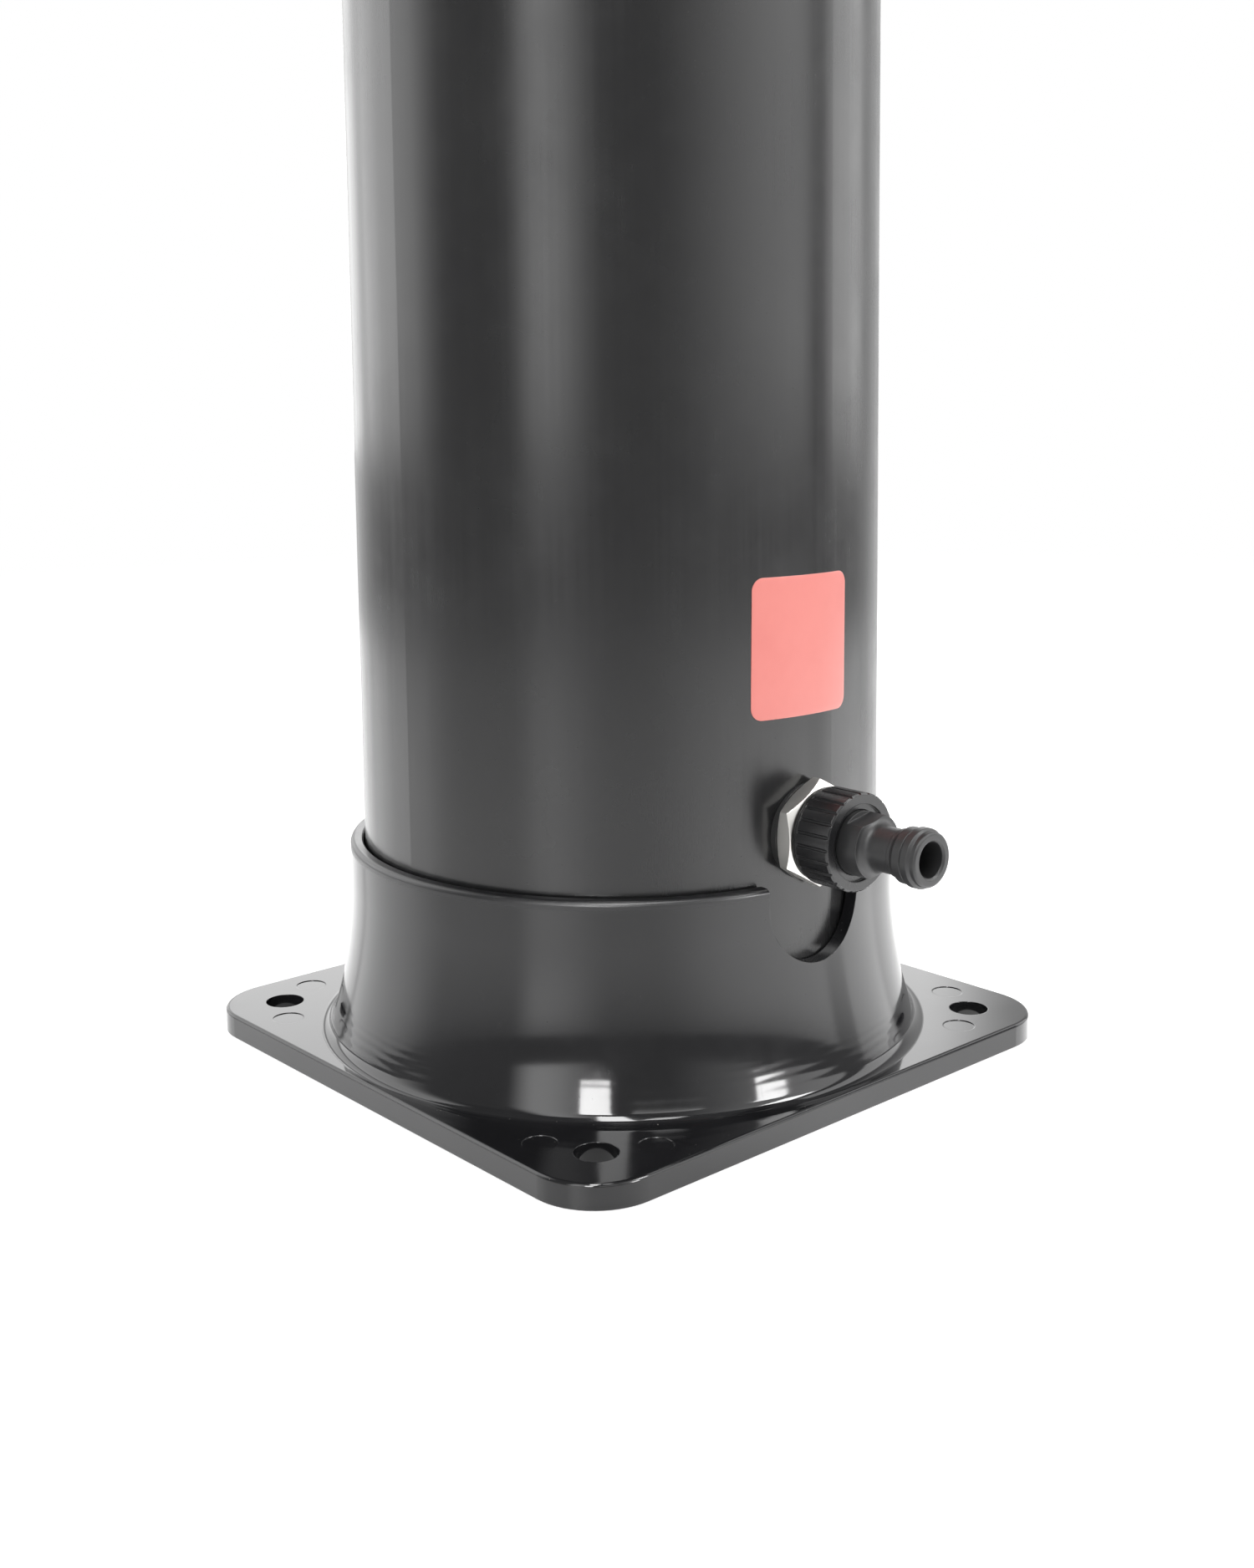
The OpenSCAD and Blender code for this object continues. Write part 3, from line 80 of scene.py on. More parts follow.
def from_camera(turn, climb=0.0):
    """The direction that many degrees round the part from the camera, and that many up."""
    return heading(view_turn + math.radians(turn), math.radians(climb))


towards = heading(view_turn, view_tilt)
level_right = Vector((math.cos(view_turn), math.sin(view_turn), 0))
upright = towards.cross(level_right)
right = level_right * math.cos(view_roll) + upright * math.sin(view_roll)
up = upright * math.cos(view_roll) - level_right * math.sin(view_roll)

camera = add_to_scene("camera", bpy.data.cameras.new("camera"))
bpy.context.scene.camera = camera
camera.matrix_world = Matrix.Translation(
    level_right * look_right + Vector((0, 0, look_up)) + towards * view_distance
) @ Matrix((right, up, towards)).transposed().to_4x4()
camera.data.sensor_width = SENSOR
camera.data.lens = focal_pixels / PHOTO_HIGH * SENSOR
camera.data.shift_y = (optical_centre_y - PHOTO_HIGH / 2) / PHOTO_HIGH
camera.data.clip_start, camera.data.clip_end = nearest, farthest
bpy.context.scene.view_settings.view_transform = "Standard"
print("lens:", round(camera.data.lens, 2), "mm, shift:", round(camera.data.shift_y, 3))

# %% [markdown]
# ## Small helpers for shader nodes
# A shader is a wiring job, so a few helpers keep it short. One places a node and fills or wires
# its inputs, some do arithmetic on numbers or vectors, one maps a range, and two mix colours or
# vectors by a mask. A pair of numbers in capitals further on, such as NEAR_EDGE, says where such a
# range starts and ends.

# %% Node helpers
def place(tree, kind, inputs=None, **settings):
    """Adds a shader node, sets its options, and fills or wires its inputs."""
    node = tree.nodes.new("ShaderNode" + kind)
    for key, value in settings.items():
        setattr(node, key, value)
    for key, value in (inputs or {}).items():
        if isinstance(value, bpy.types.NodeSocket):
            tree.links.new(value, node.inputs[key])
        else:
            node.inputs[key].default_value = value
    return node


def maths(tree, operation, a, b=0.0, clamp=False):
    """One Math node's result."""
    return place(tree, "Math", {0: a, 1: b}, operation=operation, use_clamp=clamp).outputs[0]


def product(tree, *values):
    """All the values multiplied."""
    total = values[0]
    for value in values[1:]:
        total = maths(tree, "MULTIPLY", total, value)
    return total


def vector_maths(tree, operation, a, b=(0, 0, 0), out="Vector"):
    """One Vector Math node's result."""
    return place(tree, "VectorMath", {0: a, 1: b}, operation=operation).outputs[out]


def scaled(tree, vector, factor):
    """A vector times a number."""
    return place(tree, "VectorMath", {0: vector, "Scale": factor}, operation="SCALE").outputs[0]


def dot(tree, a, b):
    """How far along b the vector a reaches."""
    return vector_maths(tree, "DOT_PRODUCT", a, b, out="Value")


def ramp(tree, value, low, high, out_low=0.0, out_high=1.0):
    """Maps low..high to out_low..out_high with soft ends."""
    return place(tree, "MapRange", {"Value": value, "From Min": low, "From Max": high,
                                    "To Min": out_low, "To Max": out_high},
                 interpolation_type="SMOOTHSTEP").outputs[0]


def mix_colours(tree, mask, first, second):
    """first where the mask is 0, second where it is 1."""
    first, second = [c if isinstance(c, bpy.types.NodeSocket) else (*c, 1) for c in (first, second)]
    return place(tree, "Mix", {0: mask, 6: first, 7: second}, data_type="RGBA").outputs[2]


def mix_vectors(tree, mask, first, second):
    """The same for two vectors."""
    return place(tree, "Mix", {0: mask, 4: first, 5: second}, data_type="VECTOR").outputs[1]


print("node helpers: place, maths, product, vector_maths, scaled, dot, ramp and two mixes")

# %% [markdown]
# ## Helpers for node groups
# An effect that many finishes share is a node group: a small wiring diagram with named plugs on
# its outside. Its inputs here are plain numbers or places in space, and its outputs are masks
# and heights that change over the surface. Each finish then plugs in its own values.

# %% Group helpers
def start_group(name, inputs, outputs):
    """An empty node group: inputs are {name: default}, outputs are {name: kind of socket}."""
    tree = bpy.data.node_groups.new(name, "ShaderNodeTree")
    for plug, value in inputs.items():
        kind = "NodeSocketFloat" if isinstance(value, (int, float)) else "NodeSocketVector"
        socket = tree.interface.new_socket(plug, in_out="INPUT", socket_type=kind)
        socket.default_value = value
    for plug, kind in outputs.items():
        tree.interface.new_socket(plug, in_out="OUTPUT", socket_type="NodeSocket" + kind)
    return tree, tree.nodes.new("NodeGroupInput").outputs, tree.nodes.new("NodeGroupOutput").inputs


def use_group(tree, group, **values):
    """Places a group in a material; plug names are written with underscores."""
    node = tree.nodes.new("ShaderNodeGroup")
    node.node_tree = group
    for plug, value in values.items():
        socket = node.inputs[plug.replace("_", " ")]
        if isinstance(value, bpy.types.NodeSocket):
            tree.links.new(value, socket)
        else:
            socket.default_value = value
    return node.outputs


def in_millimetres(tree):
    """The place on the object, in millimetres."""
    return scaled(tree, place(tree, "TexCoord").outputs["Object"], 1 / MM)


def noise(tree, place_mm, per_mm, detail=2.0, rough=0.5):
    """Noise with a grain of about 1 / per_mm millimetres, from 0 to 1."""
    return place(tree, "TexNoise", {"Vector": place_mm, "Scale": per_mm, "Detail": detail,
                                    "Roughness": rough}).outputs[0]


print("group helpers: start_group, use_group, in_millimetres and noise")

# %% [markdown]
# ## What the camera sees, and what the part mirrors
# Catalogue pictures of dark gloss parts are made in a white room, because such a part is seen by
# what it mirrors. The camera should see plain white, but the part's mirror image of the room needs
# light and dark in it. A Light Path node tells the two kinds of look apart, and the floor and the
# world below both use it, so that the wall that they show in mirrors is the same one.

# %% Room
ROOM_FRONT, ROOM_BACK, ROOM_TURN = 0.42, 1.0, (0.4, 0.9)


def light_path(tree):
    """Masks for what the camera sees and for what is seen in a mirror or through glass."""
    rays = place(tree, "LightPath").outputs
    return rays["Is Camera Ray"], maths(tree, "MAXIMUM", rays["Is Glossy Ray"], rays["Is Transmission Ray"])


def room_wall(tree, direction):
    """The wall's brightness in mirrors: lighter behind the part than on the camera's side."""
    return ramp(tree, dot(tree, direction, from_camera(180)), *ROOM_TURN, ROOM_FRONT, ROOM_BACK)


print("wall in mirrors:", ROOM_FRONT, "on the camera's side to", ROOM_BACK, "behind the part")

# %% [markdown]
# ## The floor
# The floor is pale paint that takes the part's shadow. To the camera and in mirrors it is lifted a
# little, so it reads as white, and far away it runs into the backdrop. In mirrors alone it has a
# sheen at flat angles, and spilt light on it at the picture's right brightens the pipe's foot there.

# %% Floor
FLOOR_PAINT, FLOOR_LIFT = (0.86, 0.86, 0.86, 1), 0.6
FLOOR_SHEEN, SHEEN_ROUGH, SHEEN_IOR = (0.9, 0.9, 0.9, 1), 0.2, 2.0
SPILL_TURN, SPILL_FROM, SPILL_LOW, SPILL_HIGH = 68, (0.5, 1.0), 0.32, 1.5
SEEN_END, MIRRORED_END = (0.3, 1.6), (0.85, 1.15)
FLOOR_HALF, FLOOR_DROP = 12, 0.0002


def floor_paint():
    material = bpy.data.materials.new("white_floor")
    material.use_nodes = True
    tree = material.node_tree
    tree.nodes.clear()
    spot = place(tree, "TexCoord").outputs["Object"]
    reach = vector_maths(tree, "LENGTH", spot, out="Value")
    direction = vector_maths(tree, "NORMALIZE", spot)
    seen, mirrored = light_path(tree)
    beside = dot(tree, direction, from_camera(SPILL_TURN))
    spill = product(tree, ramp(tree, beside, *SPILL_FROM, SPILL_LOW, SPILL_HIGH), mirrored)
    lift = product(tree, maths(tree, "MAXIMUM", seen, mirrored), FLOOR_LIFT)
    glow = place(tree, "Emission", {"Strength": maths(tree, "ADD", lift, spill)})
    paint = place(tree, "BsdfDiffuse", {"Color": FLOOR_PAINT})
    lifted = place(tree, "AddShader", {0: paint.outputs[0], 1: glow.outputs[0]})
    sheen = place(tree, "BsdfGlossy", {"Color": FLOOR_SHEEN, "Roughness": SHEEN_ROUGH})
    glancing = product(tree, place(tree, "Fresnel", {"IOR": SHEEN_IOR}).outputs[0], mirrored)
    near = place(tree, "MixShader", {0: glancing, 1: lifted.outputs[0], 2: sheen.outputs[0]})
    beyond = maths(tree, "MAXIMUM", seen, product(tree, room_wall(tree, direction), mirrored))
    backdrop = place(tree, "Emission", {"Strength": beyond})
    end = maths(tree, "MAXIMUM", product(tree, ramp(tree, reach, *SEEN_END), seen),
                product(tree, ramp(tree, reach, *MIRRORED_END), mirrored))
    whole = place(tree, "MixShader", {0: end, 1: near.outputs[0], 2: backdrop.outputs[0]})
    place(tree, "OutputMaterial", {"Surface": whole.outputs[0]})
    return material


def make_floor():
    mesh = bpy.data.meshes.new("floor")
    shape = bmesh.new()
    bmesh.ops.create_grid(shape, x_segments=8, y_segments=8, size=FLOOR_HALF)
    shape.to_mesh(mesh)
    shape.free()
    mesh.materials.append(floor_paint())
    floor = add_to_scene("floor", mesh)
    floor.location.z = -FLOOR_DROP
    return floor


floor = make_floor()
print("floor:", 2 * FLOOR_HALF, "m wide,", len(floor.data.polygons), "faces")

# %% [markdown]
# ## The room
# The world is the room around the part. What lights matt surfaces is an even pale grey. What shows
# in mirrors is darker towards the camera and overhead, where no white card hangs, and lighter
# behind the part, where the backdrop is: that is why the pipe's middle stays dark and its left
# rim glows. The camera itself sees plain white.

# %% World
FILL, CEILING, CEILING_EDGE = 0.32, 0.3, (0.55, 0.7)


def between(tree, mask, first, second):
    """The number first where the mask is 0, and second where it is 1."""
    return maths(tree, "ADD", first, product(tree, mask, maths(tree, "SUBTRACT", second, first)))


def make_world():
    world = bpy.data.worlds.new("white_room")
    bpy.context.scene.world = world
    world.use_nodes = True
    tree = world.node_tree
    tree.nodes.clear()
    direction = place(tree, "TexCoord").outputs["Generated"]
    height = place(tree, "SeparateXYZ", {0: direction}).outputs["Z"]
    room = between(tree, ramp(tree, height, *CEILING_EDGE), room_wall(tree, direction), CEILING)
    seen, mirrored = light_path(tree)
    strength = maths(tree, "MAXIMUM", between(tree, mirrored, FILL, room), seen)
    sky = place(tree, "Background", {"Color": (1, 1, 1, 1), "Strength": strength})
    place(tree, "OutputWorld", {"Surface": sky.outputs[0]})
    return world


world = make_world()
print("world:", world.name, "with", len(world.node_tree.nodes), "nodes, fill", FILL)

# %% [markdown]
# ## Soft boxes
# Tall soft boxes draw the stripes on the pipe. A mirror on a round pipe turns twice as fast as its
# surface, so each box is placed by the two angles it covers, seen from the pipe and counted from
# the camera. A box fades towards its edges as a real diffuser does, because hard edges would
# draw hard stripes. The fade is worked out from where on the lamp a ray leaves it. The three pale
# boxes are for the chrome alone, which the others would burn out.

# %% Soft boxes
def area_lamp(name, wide, tall, radiance, side, centre):
    """A lamp of an even brightness that faces the part from one side."""
    lamp = bpy.data.lights.new(name, "AREA")
    lamp.shape = "RECTANGLE"
    lamp.size, lamp.size_y = wide, tall
    lamp.energy = radiance * math.pi * wide * tall
    holder = add_to_scene(name, lamp)
    holder.location = centre
    holder.rotation_mode = "QUATERNION"
    holder.rotation_quaternion = side.to_track_quat("Z", "Y")
    holder.visible_camera = False
    return holder


def soft_box(name, turns, heights, radiance, fades, distance=1.7):
    """A tall lamp between two turns and two heights, with a fading edge at each side."""
    half_width = math.radians((turns[1] - turns[0]) / 2)
    side = from_camera((turns[0] + turns[1]) / 2)
    centre = side * distance + Vector((0, 0, sum(heights) / 2))
    wide, tall = 2 * distance * math.tan(half_width), heights[1] - heights[0]
    box = area_lamp(name, wide, tall, radiance, side, centre)
    box.data.use_nodes = True
    tree = box.data.node_tree
    tree.nodes.clear()
    across = place(tree, "SeparateXYZ", {0: place(tree, "NewGeometry").outputs["Parametric"]}).outputs["X"]
    edge = product(tree, ramp(tree, across, 0, fades[0]), ramp(tree, across, 1, 1 - fades[1]))
    glow = place(tree, "Emission", {"Strength": edge})
    place(tree, "OutputLight", {"Surface": glow.outputs[0]})


LOW, HIGH = 0.12, 2.4
soft_box("backdrop_box", turns=(164, 200), heights=(0.1, 1.9), radiance=2.0, fades=(0.12, 0.12), distance=2.2)
soft_box("left_rear_box", turns=(-158, -134), heights=(LOW, HIGH), radiance=1.4, fades=(0.15, 0.1))
soft_box("left_box", turns=(-134, -72), heights=(LOW, HIGH), radiance=2.4, fades=(0.08, 0.45))
soft_box("camera_box", turns=(-43, -3), heights=(LOW, 2.3), radiance=3.2, fades=(0.3, 0.65))
soft_box("right_front_box", turns=(14, 90), heights=(LOW, HIGH), radiance=2.1, fades=(0.8, 0.06))
soft_box("right_box", turns=(98, 130), heights=(LOW, HIGH), radiance=2.3, fades=(0.08, 0.2))
pale_boxes = {"pale_left_box": (-104, -84), "pale_right_box": (38, 58), "pale_rear_box": (146, 166)}
for name, turns in pale_boxes.items():
    soft_box(name, turns=turns, heights=(0.5, 2.7), radiance=1.25, fades=(0.2, 0.2))
print("soft boxes:", [lamp.name for lamp in bpy.data.lights])

# %% [markdown]
# ## Strips and windows
# The thin bright lines on the collar's rim and the foot's edges are small strong lamps overhead,
# and the broken white patches low on the flare are windows near the ground. They are only seen in
# gloss, so they add no light to colours.

# %% Strips and windows
LAMP_DISTANCE = 2.0


def gloss_lamp(name, turn, climb, wide, tall, radiance):
    """A bright lamp for mirrors only, placed by its turn from the camera and its climb."""
    side = from_camera(turn, climb)
    lamp = area_lamp(name, wide, tall, radiance, side, side * LAMP_DISTANCE)
    lamp.visible_diffuse = False


gloss_lamp("front_strip", turn=-5, climb=58, wide=0.3, tall=1.3, radiance=18)
gloss_lamp("middle_strip", turn=24, climb=64, wide=0.3, tall=0.5, radiance=9)
gloss_lamp("side_strip", turn=76, climb=44, wide=0.45, tall=0.5, radiance=20)
gloss_lamp("low_left_window", turn=-10, climb=18, wide=0.37, tall=0.75, radiance=20)
gloss_lamp("low_middle_window", turn=16, climb=18, wide=0.85, tall=0.36, radiance=2.5)
gloss_lamp("low_right_window", turn=55, climb=14, wide=0.42, tall=0.55, radiance=20)
print("lamps in all:", len(bpy.data.lights))

# %% [markdown]
# ## Flags
# A box that draws a soft grey stripe on black plastic burns chrome out to white, and the strips
# that draw the foot's rim hang close beside the pipe's top. In a studio a black flag goes between
# such a lamp and such a piece, and barn doors go round a lamp that is meant for one piece. Light
# linking does the same: a lamp gets a collection of pieces that it leaves out, or lights alone.

# %% Flags
CHROMED = ["mixer_body", "lever_handle", "shower_arm", "arm_rosette", "head_ball", "head_collar",
           "head_shell"]
HEAD_METAL = CHROMED + ["spray_plate"]
PIPE_TOP = ["upper_pipe", "coupling_ring", "top_dome", "mixer_saddle", "dome_screws"]


def flag(name, pieces, lamps, only=False):
    """Keeps the named lamps off the named pieces, or off everything but them."""
    listed = bpy.data.collections.new(name)
    for piece in pieces:
        listed.objects.link(nodes[piece])
    for entry in listed.collection_objects:
        entry.light_linking.link_state = "INCLUDE" if only else "EXCLUDE"
    for lamp in lamps:
        bpy.data.objects[lamp].light_linking.receiver_collection = listed
    print(name + ":", len(lamps), "lamps", "for nothing but" if only else "kept off", ", ".join(pieces))


flag("flag_for_chrome", HEAD_METAL,
     ["backdrop_box", "left_box", "camera_box", "right_front_box", "right_box"])
flag("flag_for_top", PIPE_TOP + HEAD_METAL, ["front_strip", "middle_strip", "side_strip"])
flag("barn_doors_on_chrome", CHROMED, list(pale_boxes), only=True)
flag("barn_doors_on_foot", ["base_foot"],
     ["low_left_window", "low_middle_window", "low_right_window"], only=True)

# %% [markdown]
# ## The sticker
# A plain coral-red vinyl label is stuck on the tube above the inlet, a little crooked. It is
# film, 0.15 mm thick, and wraps round the tube. It could be a shrinkwrapped plane, but then its
# corners follow the grid; here the rounded outline itself is drawn, and every point of it is bent
# round the tube.

# %% Sticker outline
tube_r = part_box("lower_pipe")[1][0]
label_wide, label_high, label_corner = 37.4 * MM, 39.5 * MM, 3.6 * MM
label_tilt, label_side, label_height = math.radians(0.7), 1.4 * MM, 131.8 * MM
CORNER_STEPS, SIDE_STEPS = 10, 14


def rounded_outline(wide, high, corner):
    """Points round a rectangle with round corners, centred on 0, 0."""
    corners = []
    for turn, x, y in ((0, 1, 1), (90, -1, 1), (180, -1, -1), (270, 1, -1)):
        for step in range(CORNER_STEPS + 1):
            angle = math.radians(turn + 90 * step / CORNER_STEPS)
            corners.append((x * (wide / 2 - corner) + corner * math.cos(angle),
                            y * (high / 2 - corner) + corner * math.sin(angle)))
    points = []
    for i, (x, y) in enumerate(corners):
        points.append((x, y))
        if i % (CORNER_STEPS + 1) == CORNER_STEPS:
            far_x, far_y = corners[(i + 1) % len(corners)]
            points += [(x + (far_x - x) * k / SIDE_STEPS, y + (far_y - y) * k / SIDE_STEPS)
                       for k in range(1, SIDE_STEPS)]
    return points


def round_the_tube(outline, lift, shrink=1.0):
    """Bends an outline round the tube's back, lift millimetres off its wall."""
    ring = []
    for u, v in outline:
        u, v = u * shrink, v * shrink
        across = u * math.cos(label_tilt) - v * math.sin(label_tilt) + label_side
        height = u * math.sin(label_tilt) + v * math.cos(label_tilt) + label_height
        angle, reach = across / tube_r, tube_r + lift * MM
        ring.append(Vector((reach * math.sin(angle), reach * math.cos(angle), height)))
    return ring


print("label:", round(label_wide / MM, 1), "x", round(label_high / MM, 1), "mm on a tube of radius",
      round(tube_r / MM, 2), "mm")

# %% [markdown]
# ## The sticker's film
# Rings of points make the film. The first ones climb the cut edge and roll over it, which is what
# catches the light round a real label, and the rest shrink towards the middle, so that the film
# follows the tube all over. The film goes a little into the tube at its edge, so no gap shows.

# %% Sticker
FILM, RINGS = 0.15, 12
CUT_EDGE = [(0.0, -0.04), (0.0, 0.08), (0.05, 0.13), (0.16, FILM)]


def make_sticker():
    rings = []
    for inset, lift in CUT_EDGE:
        outline = rounded_outline(label_wide - 2 * inset * MM, label_high - 2 * inset * MM, label_corner)
        rings.append(round_the_tube(outline, lift))
    rings += [round_the_tube(outline, FILM, 1 - step / RINGS) for step in range(1, RINGS)]
    shape = bmesh.new()
    rings = [[shape.verts.new(point) for point in ring] for ring in rings]
    for outer, within in zip(rings, rings[1:]):
        for i in range(len(outer)):
            j = (i + 1) % len(outer)
            shape.faces.new((outer[i], within[i], within[j], outer[j]))
    shape.faces.new(rings[-1])
    bmesh.ops.recalc_face_normals(shape, faces=shape.faces)
    mesh = bpy.data.meshes.new("sticker")
    shape.to_mesh(mesh)
    shape.free()
    mesh.shade_smooth()
    sticker = add_to_scene("sticker", mesh)
    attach(sticker, "root")
    return sticker


sticker = make_sticker()
print("sticker:", len(sticker.data.polygons), "faces,", FILM, "mm thick")

# %% [markdown]
# ## Shared effect: rounded edges, their wear and their painted highlight
# No moulded or turned edge is a knife edge: it has a small radius that catches a line of light, and
# hands and cartons rub it duller and lighter. Rounding it in the mesh would cost thousands of faces,
# so a Bevel node bends the shading near each edge instead. How far it bends the surface also says
# how near the edge is, and a patchy part of that is the mask for this wear and for a highlight painted along
# the edge.

# %% Edge group
NEAR_EDGE, PATCH_EDGE = (0.025, 0.13), (0.42, 0.62)


def edge_group():
    tree, given, put = start_group("soft_edges", {"Radius mm": 0.3, "Patches per mm": 0.4},
                                   {"Normal": "Vector", "Near": "Float", "Wear and painted edge light": "Float"})
    bent = place(tree, "Bevel", {"Radius": product(tree, given["Radius mm"], MM)}, samples=6).outputs[0]
    faced = place(tree, "NewGeometry").outputs["True Normal"]
    turned = maths(tree, "SUBTRACT", 1.0, dot(tree, bent, faced))
    patches = noise(tree, in_millimetres(tree), given["Patches per mm"], detail=4.0, rough=0.7)
    near = ramp(tree, turned, *NEAR_EDGE)
    tree.links.new(bent, put["Normal"])
    tree.links.new(near, put["Near"])
    # This patchy mask dulls the gloss for wear, and through the finishes' edge colour it also paints a
    # highlight along edges.
    tree.links.new(product(tree, near, ramp(tree, patches, *PATCH_EDGE)), put["Wear and painted edge light"])
    return tree


edges = edge_group()
print("group:", edges.name)

# %% [markdown]
# ## Shared effect: moulded skin
# Injection moulding copies the steel mould, so its polish or its spark-eroded grain is in the
# surface, and thick places sink a little while they cool. The group gives both as heights, and a
# cloudy shade, because no batch of black plastic is perfectly even.

# %% Skin group
def skin_group():
    tree, given, put = start_group(
        "moulded_skin", {"Sink mm": 0.01, "Sink per mm": 0.05, "Grain mm": 0.002, "Grain per mm": 3.0},
        {"Height": "Float", "Shade": "Float"})
    spot = in_millimetres(tree)
    sink = product(tree, noise(tree, spot, given["Sink per mm"], detail=1.0), given["Sink mm"])
    grain = product(tree, noise(tree, spot, given["Grain per mm"]), given["Grain mm"])
    tree.links.new(maths(tree, "ADD", sink, grain), put["Height"])
    tree.links.new(noise(tree, spot, per_mm=0.03, detail=4.0, rough=0.6), put["Shade"])
    return tree


skin = skin_group()
print("group:", skin.name)

# %% [markdown]
# ## Shared effect: drawn and turned lines
# A pipe pushed through a die carries faint lines along its length, and a ring cut on a lathe
# carries lines round its axis. Both are noise that is stretched almost to a thread, so one group
# makes them: Around is 0 for lines along the axis and 1 for lines round it.

# %% Line group
THREAD, SLOW, LINE_EDGE = 0.006, 0.02, (0.38, 0.66)


def line_group():
    tree, given, put = start_group(
        "tool_lines", {"Centre mm": (0, 0, 0), "Axis": (0, 0, 1), "Around": 0.0, "Lines per mm": 2.0},
        {"Height": "Float", "Mask": "Float"})
    spot = vector_maths(tree, "SUBTRACT", in_millimetres(tree), given["Centre mm"])
    along = dot(tree, spot, given["Axis"])
    reach = scaled(tree, given["Axis"], along)
    out_from_axis = vector_maths(tree, "SUBTRACT", spot, reach)
    stretched = vector_maths(tree, "ADD", out_from_axis, scaled(tree, reach, THREAD))
    radius = vector_maths(tree, "LENGTH", out_from_axis, out="Value")
    slow = place(tree, "SeparateXYZ", {0: scaled(tree, out_from_axis, SLOW)}).outputs["X"]
    ringed = place(tree, "CombineXYZ", {0: radius, 1: along, 2: slow}).outputs[0]
    where = mix_vectors(tree, given["Around"], stretched, ringed)
    fine = noise(tree, where, given["Lines per mm"], detail=3.0, rough=0.65)
    tree.links.new(fine, put["Height"])
    tree.links.new(ramp(tree, fine, *LINE_EDGE), put["Mask"])
    return tree


lines = line_group()
print("group:", lines.name)

# %% [markdown]
# ## Shared effect: handling
# Even a new shower has been unpacked by hand. Fingers leave cloudy smears that only the gloss
# shows, a cloth leaves hair-fine scratches, and dust settles where a surface faces up. Each is a
# mask here, and each finish decides how much of it shows.

# %% Handling group
SMEAR_EDGE, WIPED, HAIR, WIPED_HERE = (0.42, 0.7), (1.0, 1.3, 0.35), (0.0035, 0.0005), (0.55, 0.68)
SPECK, SPECKS_HERE = (0.1, 0.05), (0.5, 0.72)
FACING_UP, DUST_ON_WALLS, DUST_LYING = (0.2, 0.9), 0.12, 0.88


def handling_group():
    tree, given, put = start_group(
        "handling", {"Smears per mm": 0.04, "Scratches per mm": 0.05, "Specks per mm": 0.5},
        {"Smears": "Float", "Scratches": "Float", "Dust": "Float"})
    spot = in_millimetres(tree)
    cloudy = noise(tree, spot, given["Smears per mm"], detail=5.0, rough=0.68)
    tree.links.new(ramp(tree, cloudy, *SMEAR_EDGE), put["Smears"])
    stretched = vector_maths(tree, "MULTIPLY", spot, WIPED)
    waves = noise(tree, stretched, given["Scratches per mm"], detail=1.5, rough=0.4)
    hairs = maths(tree, "ABSOLUTE", maths(tree, "SUBTRACT", waves, 0.5))
    here = ramp(tree, noise(tree, spot, per_mm=0.11, detail=1.0), *WIPED_HERE)
    tree.links.new(product(tree, ramp(tree, hairs, *HAIR), here), put["Scratches"])
    up = place(tree, "SeparateXYZ", {0: place(tree, "NewGeometry").outputs["Normal"]}).outputs["Z"]
    lying = maths(tree, "ADD", DUST_ON_WALLS, product(tree, ramp(tree, up, *FACING_UP), DUST_LYING))
    cells = place(tree, "TexVoronoi", {"Vector": spot, "Scale": given["Specks per mm"]}).outputs["Distance"]
    specks = product(tree, ramp(tree, cells, *SPECK), ramp(tree, noise(tree, spot, per_mm=0.3), *SPECKS_HERE))
    tree.links.new(product(tree, specks, lying), put["Dust"])
    return tree


handling = handling_group()
print("group:", handling.name)

# %% [markdown]
# ## How a finish is put together
# Each finish below starts in the same way: a Principled shader, the shared effects plugged in
# with this finish's own numbers, a base colour that drifts with the cloudy shade, gloss that
# drifts with smears and wear, and a height that becomes a bump over the rounded edges. What
# differs is only the numbers and what is added on top, which is how real finishes differ too.

# %% Finish helpers
DUST_COLOUR, SHADE_SPREAD, SCRATCH_DEEP = (0.42, 0.40, 0.37), (0.3, 0.7), 0.004
EDGE_TINT_AMOUNT, SMEAR_SHOWS, NEAR_SHOWS, WEAR_SHOWS = 0.55, 0.3, 0.35, 0.65


